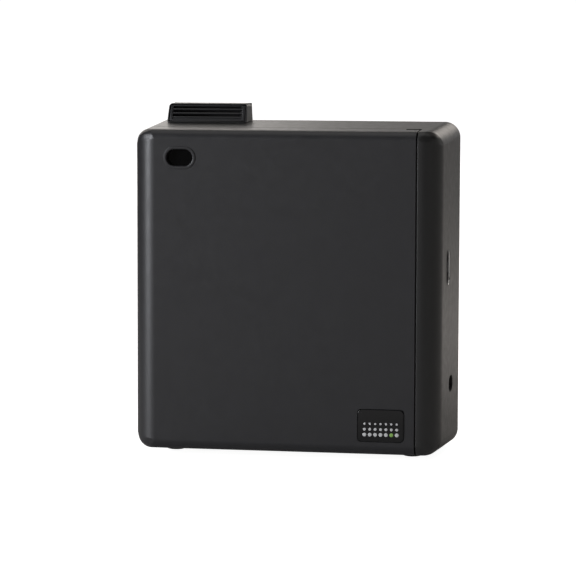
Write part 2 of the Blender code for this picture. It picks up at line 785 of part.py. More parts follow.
# ---------------------------------------------------------------- lock and power inlet

def make_lock():
    """Bright liner, thumb slider, its bolt and the bracket that guides it."""
    outer = rounded((LOCK_Y, LOCK_Z), LOCK_W, LOCK_H, LOCK_W / 2, 5)
    inner = rounded((LOCK_Y, LOCK_Z), LOCK_W - 1.6 * MM, LOCK_H - 1.6 * MM, LOCK_W / 2 - 0.8 * MM, 5)
    liner = plate("lock_bezel", outer, "X", 110.8 * MM, 113.2 * MM, "bright_liner")
    cut(liner, plate("liner_bore", inner, "X", 105.0 * MM, 118.0 * MM))
    low, high = around_lock(108.3, -9.0, -20.0), around_lock(109.8, 9.0, 15.0)
    slider = box("lock_slider", low, high, "louvre_black")
    low, high = around_lock(109.6, -4.6, -4.0), around_lock(112.3, 4.6, 4.0)
    join(slider, box("lock_thumb", low, high, None, 1.0 * MM, "X"))
    low, high = around_lock(LOCK_PIN_X / MM - 3.0, -2.6, -14.0), around_lock(108.0, 2.6, -11.0)
    bolt = box("lock_bolt", low, high, "steel")
    pin_low, pin_high = LOCK_Z - 13.0 * MM, LOCK_Z - 3.0 * MM
    middle = (LOCK_PIN_X, LOCK_Y, (pin_low + pin_high) / 2)
    join(bolt, rod("lock_pin", middle, 2.2 * MM, pin_high - pin_low, "Z"))
    make_lock_guide()
    make_strike()


def around_lock(x, y, z):
    """A place given in millimetres: x from the middle of the case, y and z from the lock slot's middle."""
    return (x * MM, LOCK_Y + y * MM, LOCK_Z + z * MM)


def make_lock_guide():
    """Bracket behind the slider, with a window for the bolt's arm."""
    guide = box("lock_guide", around_lock(106.4, -12.0, -24.0), around_lock(107.9, 12.0, 22.0), "inner_grey")
    for name, near, far in (("front", -12.0, -10.2), ("back", 10.2, 12.0)):
        end = (side_x(LOCK_Y + near * MM, WALL) - GAP) / MM
        join(guide, box(f"guide_cheek_{name}", around_lock(107.0, near, -24.0), around_lock(end, far, 22.0)))
    cut(guide, box("guide_window", around_lock(100.0, -4.0, -16.0), around_lock(112.0, 4.0, -4.0)))
    return guide


def make_strike():
    """Metal tab on the cover, with a hole for the lock's pin."""
    face = FRONT_Y + WALL + GAP
    near = (face - LOCK_Y) / MM
    strike = box("cover_strike", around_lock(66.0, near, -8.0), around_lock(88.0, near + 1.5, 8.0), "steel")
    join(strike, box("strike_tab", around_lock(76.0, near + 0.5, -2.0), around_lock(88.0, 6.0, 0.5)))
    cut(strike, rod("strike_hole", (LOCK_PIN_X, LOCK_Y, LOCK_Z), 3.2 * MM, 20.0 * MM, "Z"))
    return strike


def make_power_jack():
    """Socket behind the recess in the right wall, with its centre pin."""
    middle = (INLET_Y, INLET_Z)
    half = 5.5 * MM
    low, high = (95.0 * MM, INLET_Y - half, INLET_Z - half), (109.0 * MM, INLET_Y + half, INLET_Z + half)
    body = box("power_jack", low, high, "louvre_black")
    flange = rounded(middle, 21.0 * MM, 15.0 * MM, 3.0 * MM, 3)
    join(body, plate("jack_flange", flange, "X", 108.0 * MM, 110.2 * MM))
    cut(body, rod("jack_bore", (107.0 * MM, *middle), 3.2 * MM, 14.0 * MM, "X"))
    join(body, rod("jack_pin", (104.2 * MM, *middle), 1.05 * MM, 9.0 * MM, "X", None, 10))
    return body


# ---------------------------------------------------------------- inside

def board_corners():
    return [(x, z) for z in BOARD_SCREW_Z for x in BOARD_SCREW_X]


def open_box(name, low, high, finish):
    """A tray that is open to the front."""
    made = box(name, low, high, finish)
    inner_low = (low[0] + TRAY_WALL, low[1] - 5.0 * MM, low[2] + TRAY_WALL)
    inner_high = (high[0] - TRAY_WALL, high[1] - TRAY_WALL, high[2] - TRAY_WALL)
    cut(made, box(name + "_inside", inner_low, inner_high))
    return made


def upright_tube(name, low, high, finish, wall):
    """A rectangular tube that is open above and below."""
    made = box(name, low, high, finish)
    inner_low = (low[0] + wall, low[1] + wall, low[2] - 5.0 * MM)
    inner_high = (high[0] - wall, high[1] - wall, high[2] + 5.0 * MM)
    cut(made, box(name + "_inside", inner_low, inner_high))
    return made


def from_hood(x, y, z):
    """A place given in millimetres, with x from the middle of the hood."""
    return (HOOD_X + x * MM, y * MM, z * MM)


def make_air_path():
    """Duct under the hood, and the filter in its cassette."""
    upright_tube("inlet_duct", from_hood(-21, 19, 200), from_hood(21, 41, 237.2), "inner_grey", TRAY_WALL)
    low, high = from_hood(-24, 17, 187), from_hood(24, 41, 199.7)
    upright_tube("filter_cassette", low, high, "inner_grey", CASSETTE_WALL)
    box("dust_filter", from_hood(-21.7, 19.3, 188), from_hood(21.7, 38.7, 198.7), "foam")


def make_status_light():
    """Lamp board on the duct, and the clear rod that takes its light to the front window."""
    half_w, half_h = 9.0 * MM, 7.0 * MM
    low = (WINDOW_X - half_w, 16.2 * MM, WINDOW_Z - half_h)
    high = (WINDOW_X + half_w, 18.7 * MM, WINDOW_Z + half_h)
    box("status_lamp", low, high, "board_green")
    start, end = FRONT_Y + 8.2 * MM, 15.9 * MM
    rod("light_pipe", (WINDOW_X, (start + end) / 2, WINDOW_Z), 4.0 * MM, end - start, "Y", "clear", 16)


def make_sensors():
    """Tray with the particle, gas and climate sensors."""
    open_box("sensor_tray", mm(-103, 13, 92), mm(-37, 41, 186), "inner_grey")
    wall = 39.1
    box("particle_sensor", mm(-100, 25, 139), mm(-62, wall, 183), "shield_tin", 1.5 * MM)
    box("co2_sensor", mm(-59.5, 28, 150), mm(-39.5, wall, 183), "sensor_white", 1.5 * MM)
    box("climate_probe", mm(-57, 33, 128), mm(-42, wall, 146), "board_green", 1.0 * MM)
    for number, x in enumerate((-91, -70, -49), 1):
        rod(f"gas_cell_{number}", mm(x, 31.5, 110), 10.0 * MM, 15.2 * MM, "Y", "sensor_white", 20)


def around_rotor(x, y, z):
    """A place given in millimetres: x and z from the rotor's axis, y from the middle of the case."""
    return Vector((ROTOR_X + x * MM, y * MM, ROTOR_Z + z * MM))


def make_blower():
    """Centrifugal blower: housing with a round inlet and an outlet to the bottom."""
    low, high = around_rotor(-31, 14, -31), around_rotor(31, 40, 31)
    housing = box("blower_housing", low, high, "louvre_black", 9.0 * MM)
    join(housing, box("blower_spout", around_rotor(-30, 17, -46), around_rotor(-1, 37, -22)))
    cut(housing, rod("scroll_room", around_rotor(0, 27, 0), ROTOR_R + 4.0 * MM, 22.0 * MM, "Y", None, 32))
    cut(housing, box("spout_room", around_rotor(-28, 19, -50), around_rotor(-3, 35, -8)))
    cut(housing, rod("inlet_room", around_rotor(0, 14, 0), ROTOR_R - 3.0 * MM, 12.0 * MM, "Y", None, 32))
    join(housing, rod("blower_post", around_rotor(0, 31.5, 0), 1.6 * MM, 14.0 * MM, "Y", None, 10))
    return housing


def make_rotor():
    """Hub, back disc and blades of the blower's wheel, with its origin on its axis along Y."""
    rotor = rod("blower_rotor", around_rotor(0, 35, 0), ROTOR_R, 1.6 * MM, "Y", "inner_grey", 32)
    join(rotor, rod("rotor_hub", around_rotor(0, 28.5, 0), 8.0 * MM, 13.0 * MM, "Y", None, 16))
    bm = bmesh.new()
    for index in range(ROTOR_BLADES):
        turn = Matrix.Rotation(2 * math.pi * index / ROTOR_BLADES, 4, "Y")
        lean = Matrix.Rotation(math.radians(35), 4, "Y")
        blade = add_box(bm, mm(-4, 18.5, -0.6), mm(4, 34.8, 0.6))
        reach = Matrix.Translation((ROTOR_R - 5.0 * MM, 0, 0))
        place = Matrix.Translation(around_rotor(0, 0, 0)) @ turn @ reach @ lean
        bmesh.ops.transform(bm, matrix=place, verts=blade)
    join(rotor, from_bmesh("rotor_blades", bm))
    cut(rotor, rod("rotor_bore", around_rotor(0, 31, 0), 2.0 * MM, 15.0 * MM, "Y", None, 10))
    origin = around_rotor(0, 27, 0)
    for corner in rotor.data.vertices:
        corner.co -= origin
    rotor.location = origin
    return rotor


def make_boards():
    """Main board and what stands on it."""
    face = BOARD_Y / MM
    near = (BOARD_Y - GAP) / MM
    board = box("main_board", mm(-28, face, 82), mm(98, face + BOARD_T / MM, 226), "board_green", 2.0 * MM)
    holes = [(x, BOARD_Y, z) for x, z in board_corners()]
    cut(board, rods("board_holes", holes, 1.7 * MM, 8.0 * MM, "Y", 12))
    box("processor_can", mm(34, 25.6, 118), mm(72, near, 150), "shield_tin", 1.5 * MM)
    box("terminal_block", mm(-16, 17, 88), mm(36, near, 99), "terminal_green")
    box("antenna", mm(38, 25.6, 158), mm(76, near, 165), "sensor_white", 1.5 * MM)


def make_controls():
    """Small panel behind the cover with two sprung buttons."""
    left, right, low, high = -20.0, 26.0, 176.0, 216.0
    panel = box("control_panel", mm(left, 8, low), mm(right, 10, high), "inner_grey", 3.0 * MM)
    inset = 5.0
    legs = [mm(x, 19.4, z) for x in (left + inset, right - inset) for z in (low + inset, high - inset)]
    join(panel, rods("panel_legs", legs, 2.5 * MM, 20.6 * MM, "Y", 12))
    middle = (low + high) / 2
    for name, x in (("power_button", -7.0), ("test_button", 13.0)):
        cut(panel, rod(name + "_hole", mm(x, 9, middle), 6.0 * MM, 8.0 * MM, "Y", None, 20))
        cap = rod(name, mm(x, 8.2, middle), 5.4 * MM, 6.0 * MM, "Y", "button_grey", 20)
        join(cap, rod(name + "_flange", mm(x, 11.4, middle), 7.2 * MM, 1.4 * MM, "Y", None, 20))


def make_battery():
    """Two backup cells side by side in a tray."""
    open_box("battery_tray", mm(-26, 16, 11.5), mm(51, 40.5, 56.5), "inner_grey")
    for number, z in enumerate((23.4, 44.6), 1):
        rod(f"battery_cell_{number}", mm(12.5, 27.5, z), 9.2 * MM, 66.0 * MM, "X", "cell_wrap", 24)


def make_leads():
    """Wiring between the inlet, the blower, the sensors and the terminal block."""
    tube("jack_lead", (
        mm(94.6, 9.3, 51.5), mm(84.0, 9.5, 52.5), mm(70.0, 15.0, 62.0), mm(52.0, 20.0, 74.0),
        mm(34.0, 22.0, 79.0), mm(28.0, 22.0, 84.0), mm(28.0, 22.0, 87.6),
    ), 1.7 * MM, "lead_black")
    tube("blower_lead", (
        mm(-37.6, 24.0, 66.0), mm(-32.0, 24.0, 66.5), mm(-23.0, 22.5, 72.0), mm(-12.0, 22.0, 78.0),
        mm(-8.0, 22.0, 83.0), mm(-8.0, 22.0, 87.6),
    ), 1.3 * MM, "lead_red")
    tube("sensor_lead", (
        mm(-36.6, 24.0, 140.0), mm(-30.0, 23.5, 139.5), mm(-22.0, 20.0, 134.0), mm(-14.0, 20.0, 122.0),
        mm(-8.0, 21.0, 108.0), mm(-7.0, 22.0, 103.0), mm(-7.0, 22.0, 99.4),
    ), 1.6 * MM, "lead_black")


def main():
    start_empty()
    make_case()
    make_cover()
    make_window()
    make_badge()
    make_rear_panel()
    make_screws()
    make_hinge_pins()
    make_feet()
    make_hood()
    make_lock()
    make_power_jack()
    make_air_path()
    make_status_light()
    make_sensors()
    make_blower()
    make_rotor()
    make_boards()
    make_controls()
    make_battery()
    make_leads()


main()
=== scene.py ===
"""Looks of the air quality monitor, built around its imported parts.

Metres, +Z up.  The front faces -Y.  Lengths are given in millimetres, as
a number times MM or through mm().
"""

import json
import math

import bmesh
import bpy
from mathutils import Matrix, Vector


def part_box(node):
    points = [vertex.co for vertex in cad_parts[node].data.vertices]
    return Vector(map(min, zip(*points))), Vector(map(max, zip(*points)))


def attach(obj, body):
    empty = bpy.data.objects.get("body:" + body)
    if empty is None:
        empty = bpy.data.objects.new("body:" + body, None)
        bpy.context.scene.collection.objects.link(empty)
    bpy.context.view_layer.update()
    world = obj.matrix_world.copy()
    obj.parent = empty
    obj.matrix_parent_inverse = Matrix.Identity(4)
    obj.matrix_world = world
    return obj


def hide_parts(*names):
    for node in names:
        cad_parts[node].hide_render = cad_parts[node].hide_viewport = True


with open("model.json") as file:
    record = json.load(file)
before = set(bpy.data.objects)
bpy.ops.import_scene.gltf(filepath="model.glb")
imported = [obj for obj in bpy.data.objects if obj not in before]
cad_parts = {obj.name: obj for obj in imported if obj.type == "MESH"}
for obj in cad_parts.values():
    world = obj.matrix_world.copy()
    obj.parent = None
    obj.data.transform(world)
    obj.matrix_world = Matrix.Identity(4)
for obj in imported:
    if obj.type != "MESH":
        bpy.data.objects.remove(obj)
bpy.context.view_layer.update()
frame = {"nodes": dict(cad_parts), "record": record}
BODY_OF = {node: body for body, nodes in frame["record"]["behaviour"]["bodies"].items() for node in nodes}
FINISHES = {}

MM = 0.001
GAP = 0.3 * MM

# The case's surface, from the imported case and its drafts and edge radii.
CASE_LOW, CASE_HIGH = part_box("main_case")
FRONT_Y, BACK_Y = CASE_LOW.y, CASE_HIGH.y
MID_Z = (CASE_LOW.z + CASE_HIGH.z) / 2
HALF_W = CASE_HIGH.x
HALF_H = (CASE_HIGH.z - CASE_LOW.z) / 2
SIDE_DRAFT = math.tan(math.radians(2.18))
TOP_DRAFT = math.tan(math.radians(2.47))
UPRIGHT_EDGE_R = 15.7 * MM
LEVEL_EDGE_R = 7.0 * MM
CORNER_R = 11.4 * MM
WALL = 2.5 * MM
EDGE_STEPS = 16
SHARP_ANGLE = 48.0

# The seam round the cover.
SEAM = 0.9 * MM
SEAM_X = 94.4 * MM
SEAM_Y = FRONT_Y + 26.0 * MM
SEAM_R = 0.35 * MM


# ---------------------------------------------------------------- small helpers

def mm(*values):
    """A place given in millimetres, in metres."""
    return Vector([value * MM for value in values])


def middle_of(node):
    low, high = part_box(node)
    return (low + high) / 2


def add_object(name, mesh):
    made = bpy.data.objects.new(name, mesh)
    bpy.context.scene.collection.objects.link(made)
    return made


def add_bmesh(name, bm):
    """Turn a bmesh into an object."""
    mesh = bpy.data.meshes.new(name)
    bm.to_mesh(mesh)
    bm.free()
    return add_object(name, mesh)


def add_solid(name, bm):
    """Turn a closed bmesh into an object, with its faces pointing outwards."""
    bmesh.ops.recalc_face_normals(bm, faces=bm.faces)
    return add_bmesh(name, bm)


def new_shape(add, *values, **named):
    """A bmesh that holds one shape, made by add_box, lathe, prism or ring."""
    bm = bmesh.new()
    add(bm, *values, **named)
    return bm


def evaluated_mesh(made):
    """The mesh of an object with its modifiers applied."""
    graph = bpy.context.evaluated_depsgraph_get()
    return bpy.data.meshes.new_from_object(made.evaluated_get(graph))


def take_mesh(made):
    """The mesh of an object with its modifiers applied; the object is removed."""
    mesh = evaluated_mesh(made)
    bpy.data.objects.remove(made, do_unlink=True)
    return mesh


def apply_modifiers(made):
    mesh = evaluated_mesh(made)
    made.modifiers.clear()
    made.data = mesh


def change(made, kind, other_bm):
    """Apply one Boolean with a closed shape held in a bmesh."""
    other = add_solid("cutter", other_bm)
    step = made.modifiers.new("boolean", "BOOLEAN")
    step.operation = kind
    step.solver = "MANIFOLD"
    step.object = other
    apply_modifiers(made)
    bpy.data.objects.remove(other, do_unlink=True)
    return made


def pull_inside(mesh, low, high):
    """Pull stray corners back into a box: rounding takes material off and never leaves the old box."""
    for corner in mesh.vertices:
        corner.co = [min(max(c, a), b) for c, a, b in zip(corner.co, low, high)]


def soften(made, width, segments=3, angle=35.0):
    """Round the sharp edges and shade the result evenly."""
    low = [min(corner.co[axis] for corner in made.data.vertices) for axis in range(3)]
    high = [max(corner.co[axis] for corner in made.data.vertices) for axis in range(3)]
    rounding = made.modifiers.new("soft_edges", "BEVEL")
    rounding.limit_method = "ANGLE"
    rounding.angle_limit = math.radians(angle)
    rounding.width = width
    rounding.segments = segments
    rounding.use_clamp_overlap = False
    apply_modifiers(made)
    pull_inside(made.data, low, high)
    even_shading(made)


def even_shading(made):
    """Smooth shading with sharp corners kept, and normals weighted so that flats stay flat."""
    made.data.shade_smooth()
    made.data.set_sharp_from_angle(angle=math.radians(SHARP_ANGLE))
    weights = made.modifiers.new("even_shading", "WEIGHTED_NORMAL")
    weights.keep_sharp = True


def piece(name, bm, slot, body, nodes=(), edge=0.0, segments=2, angle=35.0):
    """Turn a bmesh into a piece that rides on a body and may stand for CAD nodes."""
    dress(add_solid(name, bm), slot, body, nodes, edge, segments, angle)


def dress(made, slot, body, nodes=(), edge=0.0, segments=2, angle=35.0):
    """Give a piece its finish, soften its edges or shade it smooth, and tie it to the frame."""
    made.data.materials.clear()
    made.data.materials.append(FINISHES[slot])
    if edge:
        soften(made, edge, segments, angle)
    else:
        made.data.shade_smooth()
        made.data.set_sharp_from_angle(angle=math.radians(angle))
    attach(made, body)
    if nodes:
        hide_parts(*nodes)
    return made


def refine(node, slot, edge, segments=3, cut=None):
    """Stand a soft-edged copy for a CAD node whose shape is right, with an optional shape cut from it."""
    bm = bmesh.new()
    bm.from_mesh(frame["nodes"][node].data)
    bmesh.ops.remove_doubles(bm, verts=bm.verts, dist=1e-5)
    bmesh.ops.dissolve_limit(bm, angle_limit=math.radians(1), verts=bm.verts, edges=bm.edges)
    made = add_bmesh(node + "_fine", bm)
    if cut is not None:
        change(made, "DIFFERENCE", cut)
    return dress(made, slot, BODY_OF[node], (node,), edge, segments)


# ---------------------------------------------------------------- shapes

def add_box(bm, low, high, radius=0.0, steps=2):
    """Add a box between two corners, with all of its edges rounded."""
    low, high = Vector(low), Vector(high)
    place = Matrix.Translation((low + high) / 2) @ Matrix.Diagonal((*(high - low), 1.0))
    corners = bmesh.ops.create_cube(bm, size=1.0, matrix=place)["verts"]
    if not radius:
        return corners
    edges = list({edge for corner in corners for edge in corner.link_edges})
    made = bmesh.ops.bevel(bm, geom=edges, offset=radius, segments=steps, profile=0.5, affect="EDGES")
    return made["verts"]


def turn_to(axis):
    """Rotation that takes +Z to an axis."""
    turns = {"X": Matrix.Rotation(math.pi / 2, 4, "Y"), "Y": Matrix.Rotation(-math.pi / 2, 4, "X")}
    return turns.get(axis, Matrix.Identity(4))


def lathe(bm, place, axis, profile, sides=32):
    """Add a turned solid: profile is (radius, height) in metres, with radius 0 where it meets the axis."""
    turn = Matrix.Translation(Vector(place)) @ turn_to(axis)
    rings = []
    for radius, height in profile:
        if radius < 1e-7:
            rings.append([bm.verts.new(turn @ Vector((0, 0, height)))])
            continue
        ring = []
        for step in range(sides):
            angle = 2 * math.pi * step / sides
            corner = Vector((radius * math.cos(angle), radius * math.sin(angle), height))
            ring.append(bm.verts.new(turn @ corner))
        rings.append(ring)
    for a, b in zip(rings, rings[1:]):
        for step in range(sides):
            after = (step + 1) % sides
            if len(a) == 1 and len(b) > 1:
                bm.faces.new((a[0], b[step], b[after]))
            elif len(b) == 1 and len(a) > 1:
                bm.faces.new((a[step], a[after], b[0]))
            elif len(a) > 1:
                bm.faces.new((a[step], a[after], b[after], b[step]))


def rounded(centre, width, height, radius, steps=8):
    """Outline of a rounded rectangle; a radius of half its short side makes round ends."""
    cx, cy = centre
    points = []
    for sx, sy, first in ((1, 1, 0), (-1, 1, 90), (-1, -1, 180), (1, -1, 270)):
        for step in range(steps + 1):
            turn = math.radians(first + 90 * step / steps)
            points.append((cx + sx * (width / 2 - radius) + radius * math.cos(turn),
                           cy + sy * (height / 2 - radius) + radius * math.sin(turn)))
    return points


def lift(a, b, level, normal):
    """Place a point of a flat outline at a level: (x, z) for Y, (y, z) for X, (x, y) for Z."""
    return {"X": Vector((level, a, b)), "Y": Vector((a, level, b)), "Z": Vector((a, b, level))}[normal]


def prism(bm, outline, normal, start, end, rim=0.0, steps=3):
    """Add an extruded outline whose end at `end` may have a rounded rim."""
    points = []
    for a, b in outline:
        if not points or (Vector(points[-1]) - Vector((a, b))).length > 1e-6:
            points.append((a, b))
    if (Vector(points[0]) - Vector(points[-1])).length < 1e-6:
        points.pop()
    base = [bm.verts.new(lift(a, b, start, normal)) for a, b in points]
    top = [bm.verts.new(lift(a, b, end, normal)) for a, b in points]
    bm.faces.new(base)
    bm.faces.new(list(reversed(top)))
    count = len(points)
    for index in range(count):
        after = (index + 1) % count
        bm.faces.new((base[index], top[index], top[after], base[after]))
    if rim:
        edges = [bm.edges.get((top[index], top[(index + 1) % count])) for index in range(count)]
        bmesh.ops.bevel(bm, geom=edges, offset=rim, segments=steps, profile=0.5, affect="EDGES")


def ring(bm, centre, size, radius, normal, section, steps=10):
    """Sweep a closed section round a rounded rectangle; section is (outward offset, level) in metres."""
    width, height = size
    loops = []
    for offset, level in section:
        outline = rounded(centre, width + 2 * offset, height + 2 * offset, radius + offset, steps)
        loops.append([bm.verts.new(lift(a, b, level, normal)) for a, b in outline])
    count = len(loops[0])
    for a, b in zip(loops, loops[1:] + loops[:1]):
        for index in range(count):
            after = (index + 1) % count
            bm.faces.new((a[index], a[after], b[after], b[index]))
    bmesh.ops.remove_doubles(bm, verts=bm.verts, dist=1e-7)


def arc(centre, radius, first, last, steps):
    """Points of an arc in a section, for use in ring() and lathe()."""
    points = []
    for step in range(steps + 1):
        turn = math.radians(first + (last - first) * step / steps)
        points.append((centre[0] + radius * math.cos(turn), centre[1] + radius * math.sin(turn)))
    return points


def join_bm(bm, made):
    """Add an object's mesh to a bmesh and remove the object."""
    mesh = take_mesh(made)
    bm.from_mesh(mesh)
    bpy.data.meshes.remove(mesh)


# ---------------------------------------------------------------- case surface

def side_x(y, inset=0.0):
    """Half width of the case at a depth."""
    return HALF_W - (BACK_Y - y) * SIDE_DRAFT - inset


def top_z(y, inset=0.0):
    """Height of the case's top at a depth."""
    return MID_Z + HALF_H - (BACK_Y - y) * TOP_DRAFT - inset


def bottom_z(y, inset=0.0):
    """Height of the case's underside at a depth."""
    return MID_Z - HALF_H + (BACK_Y - y) * TOP_DRAFT + inset


def edge_weight(a, b, inset):
    """How strongly the edge from a to b is rounded, from 0 to 1."""
    run = b - a
    if a.y > 0 and b.y > 0:
        return 0.0
    if abs(run.y) > BACK_Y:
        radius = CORNER_R
    elif abs(run.z) > abs(run.x):
        radius = UPRIGHT_EDGE_R
    else:
        radius = LEVEL_EDGE_R
    return (radius - inset) / (UPRIGHT_EDGE_R - inset)


def body_surface(inset=0.0):
    """Open-backed outer surface of the case, moved inwards by an inset."""
    bm = bmesh.new()
    for corner in bmesh.ops.create_cube(bm, size=2.0)["verts"]:
        y = BACK_Y if corner.co.y > 0 else FRONT_Y + inset
        z = top_z(y, inset) if corner.co.z > 0 else bottom_z(y, inset)
        corner.co = (corner.co.x * side_x(y, inset), y, z)
    back = [f for f in bm.faces if all(v.co.y > 0 for v in f.verts)]
    bmesh.ops.delete(bm, geom=back, context="FACES_ONLY")
    made = add_bmesh("surface", bm)
    mesh = made.data
    weights = mesh.attributes.new("bevel_weight_edge", "FLOAT", "EDGE")
    for edge in mesh.edges:
        a, b = (mesh.vertices[i].co for i in edge.vertices)
        weights.data[edge.index].value = edge_weight(a, b, inset)
    rounding = made.modifiers.new("rounding", "BEVEL")
    rounding.limit_method = "WEIGHT"
    rounding.width = UPRIGHT_EDGE_R - inset
    rounding.segments = EDGE_STEPS
    surface = bmesh.new()
    join_bm(surface, made)
    bmesh.ops.remove_doubles(surface, verts=surface.verts, dist=1e-5)
    return surface


def trim(bm, planes, keep):
    """Slice a surface along planes and keep the faces whose middle passes a test."""
    for point, normal in planes:
        everything = bm.verts[:] + bm.edges[:] + bm.faces[:]
        bmesh.ops.bisect_plane(bm, geom=everything, dist=1e-6, plane_co=point, plane_no=normal)
    out = [f for f in bm.faces if not keep(f.calc_center_median())]
    bmesh.ops.delete(bm, geom=out, context="FACES")


def shell(name, bm, thickness):
    """Thicken an open surface inwards."""
    made = add_bmesh(name, bm)
    skin = made.modifiers.new("wall", "SOLIDIFY")
    skin.thickness = thickness
    skin.offset = -1.0
    skin.use_even_offset = True
    return add_object(name, take_mesh(made))


def band(inset, thickness, first_y, last_y, last_x):
    """A band of the case's wall between two depths, left of last_x, as a bmesh."""
    bm = body_surface(inset)
    planes = (((0, first_y, 0), (0, 1, 0)), ((0, last_y, 0), (0, 1, 0)), ((last_x, 0, 0), (1, 0, 0)))
    trim(bm, planes, lambda c: first_y < c.y < last_y and c.x < last_x)
    solid = bmesh.new()
    join_bm(solid, shell("band", bm, thickness))
    return solid


# ---------------------------------------------------------------- finishes

def new_finish(name, colour, roughness, metallic=0.0):
    """A node material with its plain values on the shader, and object coordinates to build on."""
    made = bpy.data.materials.new(name)
    made.use_nodes = True
    tree = made.node_tree
    shader = tree.nodes["Principled BSDF"]
    shader.inputs["Base Color"].default_value = (*colour, 1.0)
    shader.inputs["Roughness"].default_value = roughness
    shader.inputs["Metallic"].default_value = metallic
    place = tree.nodes.new("ShaderNodeTexCoord").outputs["Object"]
    FINISHES[name] = made
    return tree, shader, place


def noise(tree, place, size, detail=3.0, stretch=(1.0, 1.0, 1.0)):
    """Noise whose features are `size` metres wide, stretched along the axes."""
    mapping = tree.nodes.new("ShaderNodeMapping")
    mapping.inputs["Scale"].default_value = [1.0 / (size * amount) for amount in stretch]
    tree.links.new(place, mapping.inputs["Vector"])
    made = tree.nodes.new("ShaderNodeTexNoise")
    made.inputs["Scale"].default_value = 1.0
    made.inputs["Detail"].default_value = detail
    tree.links.new(mapping.outputs["Vector"], made.inputs["Vector"])
    return made.outputs["Fac"]


def between(tree, value, low, high, first=0.3, last=0.7):
    """Map a value between two limits to another pair of numbers."""
    made = tree.nodes.new("ShaderNodeMapRange")
    made.inputs["From Min"].default_value = first
    made.inputs["From Max"].default_value = last
    made.inputs["To Min"].default_value = low
    made.inputs["To Max"].default_value = high
    tree.links.new(value, made.inputs["Value"])
    return made.outputs["Result"]


def blend_colours(tree, factor, first, second):
    made = tree.nodes.new("ShaderNodeMix")
    made.data_type = "RGBA"
    made.inputs["A"].default_value = (*first, 1.0)
    made.inputs["B"].default_value = (*second, 1.0)
    tree.links.new(factor, made.inputs["Factor"])
    return made.outputs["Result"]


def bump(tree, shader, height, distance, strength=1.0, before=None):
    """Relief from a height between 0 and 1, `distance` metres deep."""
    made = tree.nodes.new("ShaderNodeBump")
    made.inputs["Strength"].default_value = strength
    made.inputs["Distance"].default_value = distance
    tree.links.new(height, made.inputs["Height"])
    if before is not None:
        tree.links.new(before, made.inputs["Normal"])
    tree.links.new(made.outputs["Normal"], shader.inputs["Normal"])
    return made.outputs["Normal"]


def shades(colour, spread):
    """A darker and a lighter shade of a colour."""
    return [channel * (1 - spread) for channel in colour], [channel * (1 + spread) for channel in colour]


def moulded(name, colour, roughness, grain=0.4 * MM, relief=0.02 * MM, spread=0.08, specular=0.5):
    """Moulded plastic: fine spark-eroded grain, and a little unevenness in its tone and gloss."""
    tree, shader, place = new_finish(name, colour, roughness)
    shader.inputs["Specular IOR Level"].default_value = specular
    slow = noise(tree, place, 38 * MM, 2.0)
    tree.links.new(blend_colours(tree, slow, *shades(colour, spread)), shader.inputs["Base Color"])
    fine = noise(tree, place, grain, 2.0)
    mottle = noise(tree, place, 6 * MM, 4.0)
    tree.links.new(between(tree, mottle, roughness - 0.03, roughness + 0.04), shader.inputs["Roughness"])
    bump(tree, shader, fine, relief)


def metal(name, colour, roughness, along=(1.0, 1.0, 1.0), relief=0.004 * MM):
    """Metal with fine drawing lines along an axis, or a fine blasted surface."""
    tree, shader, place = new_finish(name, colour, roughness, 1.0)
    lines = noise(tree, place, 0.25 * MM, 3.0, along)
    tree.links.new(between(tree, lines, roughness * 0.75, roughness * 1.3), shader.inputs["Roughness"])
    cloud = noise(tree, place, 9 * MM, 3.0)
    tree.links.new(blend_colours(tree, cloud, *shades(colour, 0.07)), shader.inputs["Base Color"])
    bump(tree, shader, lines, relief)


def glossy_black(name, colour, roughness, specular):
    """Polished dark plastic with faint waviness and a few hairline marks."""
    tree, shader, place = new_finish(name, colour, roughness)
    waves = noise(tree, place, 11 * MM, 1.0)
    first = bump(tree, shader, waves, 0.02 * MM, 0.4)
    hairs = noise(tree, place, 0.5 * MM, 2.0, (14.0, 1.0, 1.0))
    tree.links.new(between(tree, hairs, roughness, roughness + 0.08, 0.62, 0.8), shader.inputs["Roughness"])
    bump(tree, shader, hairs, 0.001 * MM, 0.5, first)
    cloud = noise(tree, place, 20 * MM, 2.0)
    tree.links.new(blend_colours(tree, cloud, *shades(colour, 0.25)), shader.inputs["Base Color"])
    shader.inputs["Specular IOR Level"].default_value = specular


def rubber():
    tree, shader, place = new_finish("rubber", (0.020, 0.020, 0.021), 0.8)
    dust = noise(tree, place, 3 * MM, 5.0)
    tree.links.new(blend_colours(tree, dust, (0.014, 0.014, 0.015), (0.034, 0.033, 0.031)),
                   shader.inputs["Base Color"])
    tree.links.new(between(tree, dust, 0.7, 0.9), shader.inputs["Roughness"])
    bump(tree, shader, noise(tree, place, 0.3 * MM, 3.0), 0.05 * MM)
    shader.inputs["Specular IOR Level"].default_value = 0.3


def foam():
    """Open-celled dust filter: pores at two sizes, with painted shade that makes their insides darker than
    their walls.
    """
    tree, shader, place = new_finish("foam", (0.07, 0.07, 0.075), 0.95)
    cells = tree.nodes.new("ShaderNodeTexVoronoi")
    cells.inputs["Scale"].default_value = 1 / (1.4 * MM)
    tree.links.new(place, cells.inputs["Vector"])
    depth = between(tree, cells.outputs["Distance"], 0.0, 1.0, 0.15, 0.6)
    # Painted shade: the colour darkens towards each pore's sunken middle and lightens on the walls between
    # pores.
    tree.links.new(blend_colours(tree, depth, (0.012, 0.012, 0.013), (0.11, 0.11, 0.115)),
                   shader.inputs["Base Color"])
    first = bump(tree, shader, depth, 0.5 * MM)
    bump(tree, shader, noise(tree, place, 0.3 * MM, 2.0), 0.08 * MM, 1.0, first)


